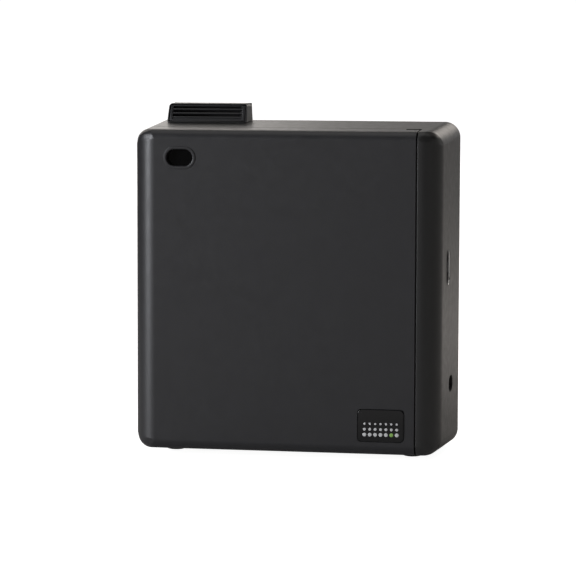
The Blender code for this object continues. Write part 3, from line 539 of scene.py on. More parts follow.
def solder_mask():
    """Green circuit board: traces a shade lighter under the mask, with a satin lacquer over all."""
    green, trace = (0.010, 0.085, 0.036), (0.022, 0.150, 0.066)
    tree, shader, place = new_finish("board_green", green, 0.34)
    parts = tree.nodes.new("ShaderNodeSeparateXYZ")
    tree.links.new(place, parts.inputs["Vector"])
    lines = tree.nodes.new("ShaderNodeTexBrick")
    lines.inputs["Scale"].default_value = 1 / (9 * MM)
    lines.inputs["Mortar Size"].default_value = 0.055
    lines.inputs["Mortar Smooth"].default_value = 0.1
    lines.inputs["Brick Width"].default_value = 1.7
    lines.inputs["Row Height"].default_value = 0.24
    lines.offset = 0.37
    flat = tree.nodes.new("ShaderNodeCombineXYZ")
    tree.links.new(parts.outputs["X"], flat.inputs["X"])
    tree.links.new(parts.outputs["Z"], flat.inputs["Y"])
    tree.links.new(flat.outputs["Vector"], lines.inputs["Vector"])
    tree.links.new(blend_colours(tree, lines.outputs["Fac"], green, trace), shader.inputs["Base Color"])
    tree.links.new(between(tree, noise(tree, place, 4 * MM), 0.28, 0.42), shader.inputs["Roughness"])
    bump(tree, shader, lines.outputs["Fac"], 0.035 * MM)


def cell_wrap():
    """Shrink film of a battery cell: a blue film with fine length-wise creases, with painted shade darkening
    their troughs.
    """
    tree, shader, place = new_finish("cell_wrap", (0.020, 0.090, 0.260), 0.28)
    crease = noise(tree, place, 1.4 * MM, 3.0, (9.0, 1.0, 1.0))
    # Painted shade: the crease relief also sets the colour, darker blue in the troughs and lighter on the
    # ridges.
    tree.links.new(blend_colours(tree, crease, (0.014, 0.065, 0.200), (0.026, 0.110, 0.300)),
                   shader.inputs["Base Color"])
    tree.links.new(between(tree, crease, 0.2, 0.36), shader.inputs["Roughness"])
    bump(tree, shader, crease, 0.05 * MM)
    shader.inputs["Coat Weight"].default_value = 0.4
    shader.inputs["Coat Roughness"].default_value = 0.12


def clear_rod():
    tree, shader, place = new_finish("clear", (0.86, 0.89, 0.90), 0.06)
    shader.inputs["Transmission Weight"].default_value = 0.85
    shader.inputs["IOR"].default_value = 1.49
    tree.links.new(between(tree, noise(tree, place, 2 * MM), 0.03, 0.14), shader.inputs["Roughness"])
    bump(tree, shader, noise(tree, place, 5 * MM), 0.02 * MM, 0.5)


def lead_skin(name, colour):
    """Soft insulation of a lead, dulled by handling."""
    tree, shader, place = new_finish(name, colour, 0.5)
    rub = noise(tree, place, 2.5 * MM, 4.0)
    tree.links.new(blend_colours(tree, rub, *shades(colour, 0.22)), shader.inputs["Base Color"])
    tree.links.new(between(tree, rub, 0.42, 0.6), shader.inputs["Roughness"])
    bump(tree, shader, noise(tree, place, 0.6 * MM), 0.02 * MM)


def make_finishes():
    """One finish for each material slot of the record, and a few for small details."""
    moulded("case_black", (0.0135, 0.0132, 0.0130), 0.40, spread=0.06)
    moulded("cover_black", (0.0140, 0.0138, 0.0152), 0.40, spread=0.06)
    moulded("louvre_black", (0.0130, 0.0130, 0.0135), 0.38, 0.3 * MM, 0.012 * MM)
    moulded("inner_grey", (0.110, 0.112, 0.118), 0.58, 0.5 * MM, 0.03 * MM)
    moulded("sensor_white", (0.62, 0.62, 0.60), 0.52, 0.4 * MM, 0.015 * MM, 0.03)
    moulded("terminal_green", (0.050, 0.300, 0.120), 0.46, 0.4 * MM, 0.015 * MM)
    moulded("button_grey", (0.350, 0.355, 0.360), 0.50, 0.4 * MM, 0.012 * MM, 0.04)
    metal("steel", (0.56, 0.56, 0.55), 0.34)
    metal("shield_tin", (0.62, 0.62, 0.60), 0.36, (10.0, 10.0, 1.0))
    metal("bright_liner", (0.80, 0.80, 0.79), 0.16, (1.0, 1.0, 8.0), 0.001 * MM)
    metal("contact_gold", (0.83, 0.60, 0.24), 0.26)
    glossy_black("window_smoke", (0.0012, 0.0012, 0.0014), 0.10, 0.15)
    glossy_black("badge_black", (0.0030, 0.0030, 0.0033), 0.05, 0.5)
    moulded("badge_silver", (0.50, 0.50, 0.50), 0.30, 0.3 * MM, 0.004 * MM, 0.03)
    moulded("badge_green", (0.220, 0.400, 0.090), 0.35, 0.3 * MM, 0.004 * MM, 0.03)
    lead_skin("lead_red", (0.300, 0.018, 0.014))
    lead_skin("lead_black", (0.016, 0.016, 0.016))
    rubber()
    foam()
    solder_mask()
    cell_wrap()
    clear_rod()


# ---------------------------------------------------------------- case, cover and back

def hinge_axis():
    """Place of the hinges' axis, from the middle of a pin."""
    pin = middle_of("upper_hinge_pin")
    return pin.x, pin.y


KNUCKLE_R = 1.5 * MM
KNUCKLE_H = 11.6 * MM
KNUCKLE_GAP = 0.4 * MM
PIN_HOLE_R = 0.9 * MM
HINGE_Z = (190.0 * MM, 52.0 * MM)


def knuckles(owner, grow=0.0):
    """Barrels of one owner at both hinges, with soft ends."""
    x, y = hinge_axis()
    step = KNUCKLE_H + KNUCKLE_GAP
    half = KNUCKLE_H / 2 + grow * 0.8
    radius = KNUCKLE_R + grow
    soft = 0.25 * MM
    profile = [(0, -half), (radius - soft, -half), (radius, soft - half), (radius, half - soft),
               (radius - soft, half), (0, half)]
    bm = bmesh.new()
    for z in HINGE_Z:
        for level in ((z - step, z + step) if owner == "case" else (z,)):
            lathe(bm, (x, y, level), "Z", profile, 28)
    return bm


def rods(places, radius, half, axis, sides=32):
    """Plain round bars for cutting holes, each `half` long on either side of its place."""
    bm = bmesh.new()
    for place in places:
        lathe(bm, place, axis, [(0, -half), (radius, -half), (radius, half), (0, half)], sides)
    return bm


def add_hinge(made, owner, other):
    """Leave room for the other owner's barrels and the pin's head, and add this owner's barrels."""
    x, y = hinge_axis()
    change(made, "DIFFERENCE", knuckles(other, 0.5 * MM))
    heads = [(x, y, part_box(node)[1].z) for node in ("upper_hinge_pin", "lower_hinge_pin")]
    change(made, "DIFFERENCE", rods(heads, 2.0 * MM, 0.9 * MM, "Z"))
    change(made, "UNION", knuckles(owner))
    change(made, "DIFFERENCE", rods([(x, y, z) for z in HINGE_Z], PIN_HOLE_R, 3 * KNUCKLE_H, "Z"))


def rear_screw_places(y):
    screws = [middle_of(f"rear_screw_{number}") for number in range(1, 5)]
    return [(place.x, y, place.z) for place in screws]


def oblong(node, normal, start, end, grow):
    """A cutter round a node that has round ends, along X or Y."""
    low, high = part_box(node)
    size, centre = high - low, (low + high) / 2
    across, along = (size.x, size.z) if normal == "Y" else (size.y, size.z)
    at = (centre.x, centre.z) if normal == "Y" else (centre.y, centre.z)
    outline = rounded(at, across + 2 * grow, along + 2 * grow, min(across, along) / 2 + grow, 14)
    return new_shape(prism, outline, normal, start, end)


INLET_Y, INLET_Z = 9.3 * MM, 51.5 * MM
INLET_W, INLET_H = 17.0 * MM, 11.8 * MM

# Cuts through the right wall start and end at these widths, clear of it on both sides.
WALL_CUT = (105 * MM, 120 * MM)
CLEAR_HOLE_R = 1.9 * MM
THREAD_HOLE_R = 1.6 * MM
EXHAUST_SLOTS, EXHAUST_X, EXHAUST_PITCH = 6, -96.0, 4.6
KEYHOLE_X, KEYHOLE_Z, KEYHOLE_NECK_Z = 60 * MM, 200 * MM, 203.5 * MM


def make_case():
    """The shell behind the seam and right of it, with its rebate, bosses and openings."""
    x, y = SEAM_X + SEAM / 2, SEAM_Y + SEAM / 2
    bm = body_surface()
    trim(bm, (((x, 0, 0), (1, 0, 0)), ((0, y, 0), (0, 1, 0))), lambda c: c.x > x or c.y > y)
    case = shell("case_shell", bm, WALL)
    step_y = y + 0.4 * MM
    change(case, "UNION", band(WALL - GAP, 2.7 * MM, step_y, step_y + 6.6 * MM, SEAM_X - 4.4 * MM))
    change(case, "UNION", band(WALL + 0.5 * MM, 1.6 * MM, y - 4.5 * MM, step_y + 5.6 * MM, SEAM_X - 5.4 * MM))
    change(case, "UNION", strip_flange())
    change(case, "UNION", rods(rear_screw_places(31.5 * MM), 5.0 * MM, 11.0 * MM, "Y"))
    rear = Vector((0, BACK_Y, 0))
    change(case, "DIFFERENCE", new_shape(add_box, mm(-130, 0, -10) + rear, mm(130, 10, 260) + rear))
    add_hinge(case, "case", "cover")
    change(case, "DIFFERENCE", rods(rear_screw_places(34.0 * MM), CLEAR_HOLE_R, 11.0 * MM, "Y", 20))
    change(case, "DIFFERENCE", oblong("lock_bezel", "X", *WALL_CUT, GAP))
    outline = rounded((INLET_Y, INLET_Z), INLET_W, INLET_H, INLET_H / 2, 14)
    change(case, "DIFFERENCE", new_shape(prism, outline, "X", *WALL_CUT))
    change(case, "DIFFERENCE", hood_and_exhaust_holes())
    dress(case, "case_black", "case", ("main_case",), SEAM_R, 2, 50)


def strip_flange():
    """Rebate behind the cover's right edge that closes the seam."""
    face = FRONT_Y + WALL
    left, edge = SEAM_X - 5.0 * MM, SEAM_X + SEAM / 2 + 0.4 * MM
    right, bite = edge + 3.3 * MM, face - 1.0 * MM
    front = face + 0.4 * MM
    back = front + 1.8 * MM
    outline = ((left, front), (edge, front), (edge, bite), (right, bite), (right, back), (left, back))
    return new_shape(prism, outline, "Z", 12 * MM, 231 * MM)


def hood_screw_places():
    return [middle_of(f"hood_screw_{number}") for number in (1, 2)]


def hood_and_exhaust_holes():
    """The air opening and two screw holes under the hood, and the row of slots in the bottom."""
    places = [(place.x, place.y, 240 * MM) for place in hood_screw_places()]
    bm = rods(places, CLEAR_HOLE_R, 6 * MM, "Z", 20)
    hood = middle_of("vent_hood").x
    add_box(bm, (hood - 18 * MM, 21 * MM, 225 * MM), (hood + 18 * MM, 39 * MM, 250 * MM))
    for index in range(EXHAUST_SLOTS):
        x = EXHAUST_X + EXHAUST_PITCH * index
        outline = rounded(mm(x + 1.2, 24.25)[:], 2.4 * MM, 9.5 * MM, 1.19 * MM, 6)
        prism(bm, outline, "Z", -2 * MM, 7 * MM)
    return bm


def make_cover():
    """The cover's shell with the window's hole, the badge's seat and a finger notch on top."""
    x, y = SEAM_X - SEAM / 2, SEAM_Y - SEAM / 2
    bm = body_surface()
    trim(bm, (((x, 0, 0), (1, 0, 0)), ((0, y, 0), (0, 1, 0))), lambda c: c.x < x and c.y < y)
    cover = shell("cover_shell", bm, WALL)
    bore = oblong("window_bezel", "Y", FRONT_Y - 5 * MM, FRONT_Y + 8 * MM, -1.4 * MM)
    change(cover, "DIFFERENCE", bore)
    low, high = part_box("badge_plate")
    size, centre = high - low, ((low.x + high.x) / 2, (low.z + high.z) / 2)
    outline = rounded(centre, size.x + 2 * GAP, size.z + 2 * GAP, 2.8 * MM)
    change(cover, "DIFFERENCE", new_shape(prism, outline, "Y", FRONT_Y - 5 * MM, FRONT_Y + 1 * MM))
    notch = (SEAM_X - 10.8 * MM, y - 6.5 * MM, 225 * MM), (SEAM_X + MM, y + MM, 245 * MM)
    change(cover, "DIFFERENCE", new_shape(add_box, *notch))
    soften(cover, SEAM_R, 2, 50)
    add_hinge(cover, "cover", "case")
    even_shading(dress(cover, "cover_black", "cover", ("front_cover",), angle=50))


def make_window():
    """Rounded lip round the window, and the dark lens behind it."""
    low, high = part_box("window_bezel")
    centre = ((low.x + high.x) / 2, (low.z + high.z) / 2)
    flange = 2.2 * MM
    width, height = high.x - low.x - 2 * flange, high.z - low.z - 2 * flange
    face, seat, foot = low.y, FRONT_Y - GAP, high.y
    soft, inner = 0.3 * MM, 0.9 * MM
    section = arc((flange - soft, face + soft), soft, 0, -90, 4)
    section += arc((inner, face + inner), inner, -90, -180, 8)
    section += [(0.0, foot), (0.5 * MM, foot), (0.5 * MM, seat), (flange, seat)]
    bm = new_shape(ring, centre, (width, height), height / 2, "Y", section, 16)
    piece("window_ring", bm, "cover_black", "cover", ("window_bezel",), angle=40)
    low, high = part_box("window_lens")
    size = high - low
    bm = new_shape(prism, rounded(centre, size.x, size.z, size.z / 2, 16), "Y", high.y, low.y, 0.4 * MM)
    piece("window_glass", bm, "window_smoke", "cover", ("window_lens",))


BADGE_RIM = 0.7 * MM


def make_badge():
    """Domed badge with a border groove, and a plain pattern of dots in rows."""
    low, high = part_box("badge_plate")
    size, centre = high - low, (low + high) / 2
    face = low.y + 0.12 * MM
    outline = rounded((centre.x, centre.z), size.x, size.z, 2.5 * MM, 8)
    bm = new_shape(prism, outline, "Y", high.y, face, BADGE_RIM, 8)
    piece("badge_body", bm, "badge_black", "cover", ("badge_plate",))
    dots = {"badge_silver": bmesh.new(), "badge_green": bmesh.new()}
    columns, pitch = 7, 3.9 * MM
    for row, radius in enumerate(mm(1.35, 1.05, 0.8)):
        for column in range(columns):
            x = centre.x + (column - (columns - 1) / 2) * pitch
            z = centre.z - 6.4 * MM + row * pitch
            green = row == 0 and column == columns - 2
            sunk, side, crown = 0.1 * MM, -0.04 * MM, -0.12 * MM
            dome = [(0, sunk), (radius, sunk), (radius, side), (radius * 0.75, crown), (0, crown)]
            lathe(dots["badge_green" if green else "badge_silver"], (x, face, z), "Y", dome, 24)
    for slot, dot_bm in dots.items():
        piece(slot + "_dots", dot_bm, slot, "cover")


def make_back():
    """Back plate with its keyholes, screw sinks and standoffs, and a shallow groove near its edge."""
    low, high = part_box("rear_panel")
    centre, size = ((low.x + high.x) / 2, (low.z + high.z) / 2), high - low
    inset, depth, half = 14 * MM, 0.5 * MM, 0.5 * MM
    sunk, proud = BACK_Y - depth, BACK_Y + depth
    section = [(-half, sunk), (half, sunk), (half, proud), (-half, proud)]
    inner = BACK_Y - 3.0 * MM
    plate = new_shape(prism, rounded(centre, size.x, size.z, 8.5 * MM, 12), "Y", inner, BACK_Y)
    back = add_solid("back_plate", plate)
    corners = [middle_of(f"board_screw_{number}") for number in range(1, 5)]
    posts = [(place.x, (low.y + inner) / 2 + 0.25 * MM, place.z) for place in corners]
    change(back, "UNION", rods(posts, 3.5 * MM, (inner - low.y) / 2 + 0.25 * MM, "Y"))
    threads = [(place.x, 35 * MM, place.z) for place in corners]
    change(back, "DIFFERENCE", rods(threads, THREAD_HOLE_R, 6 * MM, "Y", 20))
    change(back, "DIFFERENCE", rods(rear_screw_places(45 * MM), CLEAR_HOLE_R, 5 * MM, "Y", 20))
    change(back, "DIFFERENCE", rods(rear_screw_places(BACK_Y + 0.5 * MM), 3.5 * MM, 2.8 * MM, "Y"))
    keyholes = rods([(side * KEYHOLE_X, BACK_Y, KEYHOLE_Z) for side in (-1, 1)], 5 * MM, 6 * MM, "Y")
    change(back, "DIFFERENCE", keyholes)
    for side in (-1, 1):
        outline = rounded((side * KEYHOLE_X, KEYHOLE_NECK_Z), 5.2 * MM, 12.2 * MM, 2.59 * MM, 8)
        change(back, "DIFFERENCE", new_shape(prism, outline, "Y", BACK_Y - 7 * MM, BACK_Y + 7 * MM))
    groove = (size.x - 2 * inset, size.z - 2 * inset)
    change(back, "DIFFERENCE", new_shape(ring, centre, groove, 6 * MM, "Y", section, 8))
    dress(back, "case_black", "case", ("rear_panel",), 0.3 * MM, 2, 50)


# ---------------------------------------------------------------- hinges, screws and feet

def make_hinge_pins():
    """Turned pins with a domed head."""
    for node in ("upper_hinge_pin", "lower_hinge_pin"):
        low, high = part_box(node)
        x, y = hinge_axis()
        radius, head, head_h = 0.7 * MM, 1.2 * MM, 0.6 * MM
        length = high.z - low.z
        profile = [(0, 0), (radius - 0.2 * MM, 0), (radius, 0.2 * MM), (radius, length - head_h),
                   (head, length - head_h)]
        profile += arc((head - 0.3 * MM, length - 0.3 * MM), 0.3 * MM, 0, 90, 4) + [(0, length)]
        bm = new_shape(lathe, (x, y, low.z), "Z", profile, 28)
        piece(node + "_turned", bm, "steel", BODY_OF[node], (node,))


def make_screw(node, axis, sign, head_r, shank_r):
    """Pan-head screw with a cross recess and a threaded shank; sign is the way the shank points."""
    low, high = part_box(node)
    centre = (low + high) / 2
    size = high - low
    index = "XYZ".index(axis)
    length, head_h, soft = size[index], 1.7 * MM, 0.5 * MM
    profile = [(0, 0)] + arc((head_r - soft, soft), soft, -90, 0, 5) + [(head_r, head_h), (shank_r, head_h)]
    pitch = 0.7 * MM
    level = head_h + pitch
    while level + pitch < length - 1.5 * MM:
        profile += [(shank_r, level), (shank_r - 0.3 * MM, level + pitch / 2)]
        level += pitch
    profile += [(shank_r, length - 1.4 * MM), (shank_r * 0.35, length), (0, length)]
    start = centre.copy()
    start[index] = low[index] if sign > 0 else high[index]
    made = add_solid(node + "_turned", new_shape(lathe, (0, 0, 0), "Z", profile, 28))
    cross = bmesh.new()
    half, arm, deep = 0.42 * MM, head_r * 0.62, 1.1 * MM
    for turn in (0, 90):
        corners = add_box(cross, (-arm, -half, -1 * MM), (arm, half, deep))
        bmesh.ops.rotate(cross, verts=corners, matrix=Matrix.Rotation(math.radians(turn), 3, "Z"))
    change(made, "DIFFERENCE", cross)
    flip = Matrix.Identity(4) if sign > 0 else Matrix.Rotation(math.pi, 4, "X")
    made.data.transform(Matrix.Translation(start) @ turn_to(axis) @ flip)
    dress(made, "steel", BODY_OF[node], (node,))


def make_screws():
    for number in range(1, 5):
        make_screw(f"rear_screw_{number}", "Y", -1, 3.1 * MM, 1.5 * MM)
        make_screw(f"board_screw_{number}", "Y", 1, 2.8 * MM, 1.2 * MM)
    for number in (1, 2):
        make_screw(f"hood_screw_{number}", "Z", 1, 2.8 * MM, 1.3 * MM)


def make_feet():
    """Rubber feet with a well rounded rim and a shallow dimple, whose tops follow the underside."""
    for number in range(1, 5):
        node = f"foot_{number}"
        centre = middle_of(node)
        radius, high = 7.0 * MM, 1.0 * MM
        rim, rise = 3.4 * MM, 0.9 * MM
        profile = [(0, 0.3 * MM), (2.8 * MM, 0.3 * MM), (3.3 * MM, 0)]
        for step in range(9):
            turn = math.radians(90.0 * step / 8)
            profile.append((radius - rim + rim * math.sin(turn), rise * (1 - math.cos(turn))))
        profile += [(radius, high), (0, high)]
        bm = new_shape(lathe, (centre.x, centre.y, 0), "Z", profile, 48)
        for corner in bm.verts:
            if corner.co.z > high - 1e-6:
                corner.co.z = bottom_z(corner.co.y) - GAP
        piece(f"rubber_foot_{number}", bm, "rubber", "case", (node,))


# ---------------------------------------------------------------- hood

HOOD_H = 13.8 * MM
HOOD_LEAN = 6.0 * MM
HOOD_FRONT_Y = 16.3 * MM
HOOD_BACK_Y = 43.6 * MM
HOOD_HALF_W = 30.0 * MM
HOOD_WALL = 1.2 * MM
SLAT = 1.6 * MM
SLATS = 3


def hood_surface(centre):
    """Open-bottomed hood with a sloping front and rounded edges."""
    bm = bmesh.new()
    for corner in bmesh.ops.create_cube(bm, size=2.0)["verts"]:
        up, back = corner.co.z > 0, corner.co.y > 0
        half = HOOD_HALF_W - (0.55 * MM if up else 0.0)
        y = HOOD_BACK_Y if back else HOOD_FRONT_Y
        z = top_z(y)
        if up:
            y += -0.8 * MM if back else HOOD_LEAN
            z = top_z(HOOD_FRONT_Y) + GAP + HOOD_H
        corner.co = (centre + corner.co.x * half, y, z)
    low = [f for f in bm.faces if f.calc_center_median().z < 242 * MM]
    bmesh.ops.delete(bm, geom=low, context="FACES_ONLY")
    soft = [e for e in bm.edges if not e.is_boundary and min(v.co.y for v in e.verts) > 38 * MM]
    bmesh.ops.bevel(bm, geom=soft, offset=3 * MM, segments=8, profile=0.5, affect="EDGES")
    sides = [e for e in bm.edges if is_hood_side_edge(e, centre)]
    bmesh.ops.bevel(bm, geom=sides, offset=2.6 * MM, segments=8, profile=0.5, affect="EDGES")
    bmesh.ops.recalc_face_normals(bm, faces=bm.faces)
    return bm


def is_hood_side_edge(edge, centre):
    """True for the two level edges between the hood's top and its sides."""
    a, b = (v.co for v in edge.verts)
    level = abs(a.z - b.z) < 0.2 * MM and a.z > 253 * MM
    return level and abs(a.y - b.y) > 10 * MM and abs(a.x - centre) > 25 * MM


def slope_frame(centre):
    """Axes of the hood's front: X across, Y up the slope, Z out of it."""
    up = Vector((0, HOOD_LEAN, HOOD_H)).normalized()
    across = Vector((1, 0, 0))
    made = Matrix((across, up, across.cross(up))).transposed().to_4x4()
    made.translation = Vector((centre, HOOD_FRONT_Y, top_z(HOOD_FRONT_Y) + GAP))
    return made


def make_hood():
    """Hood shell with a recess in its front, and an insert whose slats have rounded noses."""
    centre = middle_of("vent_hood").x
    frame_of_slope = slope_frame(centre)
    hood = shell("hood_shell", hood_surface(centre), HOOD_WALL)
    places = [(place.x, place.y, 247 * MM) for place in hood_screw_places()]
    change(hood, "UNION", rods(places, 3.2 * MM, 6.2 * MM, "Z"))
    under = bmesh.new()
    corners = add_box(under, (centre - 35 * MM, 5 * MM, 230 * MM), (centre + 35 * MM, BACK_Y, 240 * MM))
    for corner in corners:
        if corner.co.z > 235 * MM:
            corner.co.z = top_z(corner.co.y) + GAP
    change(hood, "DIFFERENCE", under)
    change(hood, "DIFFERENCE", rods([(x, y, 244 * MM) for x, y, _ in places], THREAD_HOLE_R, 6 * MM, "Z", 20))
    half = HOOD_HALF_W - HOOD_WALL
    slope = math.hypot(HOOD_LEAN, HOOD_H)
    low, high = 0.8 * MM, slope - 0.8 * MM
    outline = rounded((0, (low + high) / 2), 2 * half, high - low, 0.9 * MM, 5)
    mouth = new_shape(prism, outline, "Z", -4 * MM, 4 * MM)
    bmesh.ops.transform(mouth, matrix=frame_of_slope, verts=mouth.verts)
    change(hood, "DIFFERENCE", mouth)
    dress(hood, "case_black", "case", ("vent_hood",), 0.22 * MM, 2, 50)
    make_slats(frame_of_slope, half - GAP, low + GAP, high - GAP, slope)


def make_slats(frame_of_slope, half, low, high, slope):
    """Insert in the hood's front: a frame, three bars with round noses, and a sill below them."""
    border, front, back = 2.2 * MM, -0.4 * MM, -2.2 * MM
    side, end = half - border, 1.0 * MM
    soft = 0.35 * MM
    size = (2 * side, high - low - 2 * end)
    section = [(0.0, back), (end, back)] + arc((end - soft, front - soft), soft, 0, 90, 4)
    section += arc((soft, front - soft), soft, 90, 180, 4)
    bm = new_shape(ring, (0, (low + high) / 2), size, 0.7 * MM, "Z", section, 8)
    for sign in (-1, 1):
        near, far = sorted((sign * (side - 0.2 * MM), sign * (half - 0.1 * MM)))
        add_box(bm, (near, low + 0.3 * MM, back), (far, high - 0.3 * MM, front), soft, 4)
    nose = SLAT / 2 - 0.05 * MM
    first = (slope - (2 * SLATS + 1) * SLAT) / 2
    for index in range(SLATS):
        middle = first + (2 * index + 1.5) * SLAT
        bar = [(middle - nose, back), (middle + nose, back)]
        bar += arc((middle, front - nose), nose, 0, 180, 12)
        prism(bm, bar, "X", -side - 0.5 * MM, side + 0.5 * MM)
    sill_top = first + 1.5 * SLAT - nose + 0.1 * MM
    add_box(bm, (-side - 0.5 * MM, low + 0.3 * MM, back), (side + 0.5 * MM, sill_top, front - 0.5 * MM))
    bmesh.ops.transform(bm, matrix=frame_of_slope, verts=bm.verts)
    piece("hood_slats", bm, "louvre_black", "case", ("vent_louvre",), angle=40)


# ---------------------------------------------------------------- lock and power inlet

def make_lock():
    """Polished liner ring, ridged thumb slider, bolt, guide and strike."""
    low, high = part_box("lock_bezel")
    centre = ((low.y + high.y) / 2, (low.z + high.z) / 2)
    wall, soft, lining, deep = 0.8 * MM, 0.3 * MM, 0.3 * MM, 0.85 * MM
    width, height = high.y - low.y - 2 * wall, high.z - low.z - 2 * wall
    section = [(lining, low.x), (wall, low.x)] + arc((wall - soft, high.x - soft), soft, 0, 90, 5)
    section.append((lining, high.x))
    bm = new_shape(ring, centre, (width, height), width / 2, "X", section, 16)
    piece("lock_ring", bm, "louvre_black", "case", ("lock_bezel",), angle=40)
    top, lip = high.x - 0.05 * MM, 0.15 * MM
    section = [(0.0, top - deep), (lining, top - deep), (lining, top)]
    section += arc((lip, top - lip), lip, 90, 180, 3)
    bm = new_shape(ring, centre, (width, height), width / 2, "X", section, 16)
    piece("lock_lining", bm, "bright_liner", "case", angle=40)
    grooves = bmesh.new()
    slider_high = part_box("lock_slider")[1].x
    for index in range(-2, 3):
        z = centre[1] + index * 1.5 * MM
        add_box(grooves, (slider_high - 0.4 * MM, -30 * MM, z - 0.35 * MM),
                (slider_high + 1 * MM, 30 * MM, z + 0.35 * MM))
    refine("lock_slider", "louvre_black", 0.3 * MM, cut=grooves)
    refine("lock_bolt", "steel", 0.35 * MM)
    refine("lock_guide", "inner_grey", 0.3 * MM)
    refine("cover_strike", "steel", 0.25 * MM)


def make_power_jack():
    """Moulded socket with a round bore, a spring contact and a domed centre pin."""
    low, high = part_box("power_jack")
    centre = (INLET_Y, INLET_Z)
    half = 5.5 * MM
    barrel = (low.x, INLET_Y - half, INLET_Z - half), (109 * MM, INLET_Y + half, INLET_Z + half)
    made = add_solid("jack_body", new_shape(add_box, *barrel))
    outline = rounded(centre, 21 * MM, 15 * MM, 3 * MM, 8)
    change(made, "UNION", new_shape(prism, outline, "X", 108 * MM, high.x))
    change(made, "DIFFERENCE", rods([(107 * MM, *centre)], 3.2 * MM, 7 * MM, "X"))
    dress(made, "louvre_black", "case", ("power_jack",), 0.35 * MM, 3)
    radius, root = 1.05 * MM, -9.9 * MM
    profile = [(0, root), (radius, root)] + arc((0.45 * MM, -0.6 * MM), 0.6 * MM, 0, 90, 5) + [(0, 0)]
    piece("jack_pin", new_shape(lathe, (108.7 * MM, *centre), "X", profile, 28), "bright_liner", "case")
    inner, outer, first, last = 2.85 * MM, 3.15 * MM, -8 * MM, -0.4 * MM
    profile = [(inner, first), (outer, first), (outer, last), (inner, last), (inner, first)]
    spring = new_shape(lathe, (109.2 * MM, *centre), "X", profile, 40)
    bmesh.ops.remove_doubles(spring, verts=spring.verts, dist=1e-7)
    piece("jack_contact", spring, "steel", "case")


# ---------------------------------------------------------------- inside

def make_air_path():
    """Duct, filter cassette with a lip, and a pleated block of foam."""
    refine("inlet_duct", "inner_grey", 0.3 * MM)
    refine("filter_cassette", "inner_grey", 0.35 * MM)
    low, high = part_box("dust_filter")
    pleats, deep, steps = 9, 1.1 * MM, 8
    top, under = [], []
    for index in range(pleats * steps + 1):
        x = low.x + (high.x - low.x) * index / (pleats * steps)
        wave = deep * (0.5 - 0.5 * math.cos(2 * math.pi * index / steps))
        top.append((x, high.z - wave))
        under.append((x, low.z + wave))
    bm = new_shape(prism, top + under[::-1], "Y", low.y, high.y)
    piece("pleated_filter", bm, "foam", "case", ("dust_filter",), angle=50)


def make_status_light():
    """Lamp board with a domed lamp, and the clear rod that carries its light to the window."""
    refine("status_lamp", "board_green", 0.2 * MM, 2)
    low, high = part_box("light_pipe")
    centre, radius, soft = (low + high) / 2, (high.x - low.x) / 2, 0.6 * MM
    length = high.y - low.y
    profile = [(0, 0)] + arc((radius - soft, soft), soft, -90, 0, 6)
    profile += arc((radius - soft, length - soft), soft, 0, 90, 6) + [(0, length)]
    bm = new_shape(lathe, (centre.x, low.y, centre.z), "Y", profile, 48)
    piece("clear_rod", bm, "clear", "case", ("light_pipe",))
    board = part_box("status_lamp")[0]
    parts = bmesh.new()
    for dx, dz in ((-6.5, 3.5), (-6.5, -3.5), (6.5, 3.5), (6.5, -3.5)):
        place = Vector((centre.x, board.y, centre.z)) + mm(dx, 0, dz)
        add_box(parts, place + mm(-0.8, -0.6, -0.5), place + mm(0.8, 0.1, 0.5), 0.1 * MM)
    piece("lamp_resistors", parts, "louvre_black", "case")


def make_sensors():
    """Tray with the particle, gas and climate sensors, each with its openings and pins."""
    refine("sensor_tray", "inner_grey", 0.4 * MM)
    low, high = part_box("particle_sensor")
    cuts = bmesh.new()
    for index in range(5):
        z = low.z + (12 + 4 * index) * MM
        outline = rounded((low.x + 10 * MM, z), 11 * MM, 1.8 * MM, 0.9 * MM, 6)
        prism(cuts, outline, "Y", low.y - 1 * MM, low.y + 0.9 * MM)
    lathe(cuts, (high.x - 11 * MM, low.y, high.z - 14 * MM), "Y",
          [(0, -MM), (6.5 * MM, -MM), (6.5 * MM, 1.2 * MM), (0, 1.2 * MM)], 40)
    sensor = refine("particle_sensor", "shield_tin", 0.45 * MM)
    even_shading(change(sensor, "DIFFERENCE", cuts))
    hub, radius, nose = (high.x - 11 * MM, low.y + 1.1 * MM, high.z - 14 * MM), 2.4 * MM, -0.8 * MM
    profile = [(0, nose), (2.1 * MM, nose), (radius, -0.5 * MM), (radius, 0), (0, 0)]
    fan = new_shape(lathe, hub, "Y", profile, 28)
    for index in range(7):
        corners = add_box(fan, mm(1.9, -0.6, -0.9), mm(6.1, -0.25, 0.9), 0.1 * MM)
        turn = Matrix.Rotation(2 * math.pi * index / 7, 4, "Y") @ Matrix.Rotation(math.radians(24), 4, "X")
        bmesh.ops.transform(fan, matrix=Matrix.Translation(hub) @ turn, verts=corners)
    piece("particle_fan", fan, "louvre_black", "case")
    refine("co2_sensor", "sensor_white", 0.5 * MM)
    low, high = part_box("co2_sensor")
    centre = (low + high) / 2
    membrane = bmesh.new()
    for dz in (-8, 8):
        outline = rounded((centre.x, centre.z + dz * MM), 13 * MM, 9 * MM, 1.5 * MM, 6)
        prism(membrane, outline, "Y", low.y + 0.3 * MM, low.y - 0.35 * MM, 0.25 * MM)
    piece("co2_membranes", membrane, "foam", "case")
    refine("climate_probe", "board_green", 0.2 * MM, 2)
    low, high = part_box("climate_probe")
    place = Vector(((low.x + high.x) / 2, low.y, (low.z + high.z) / 2))
    chip = new_shape(add_box, place + mm(-2.5, -1.0, -2.5), place + mm(2.5, 0.1, 2.5), 0.3 * MM)
    piece("climate_chip", chip, "shield_tin", "case")
    for number in (1, 2, 3):
        make_gas_cell(number)


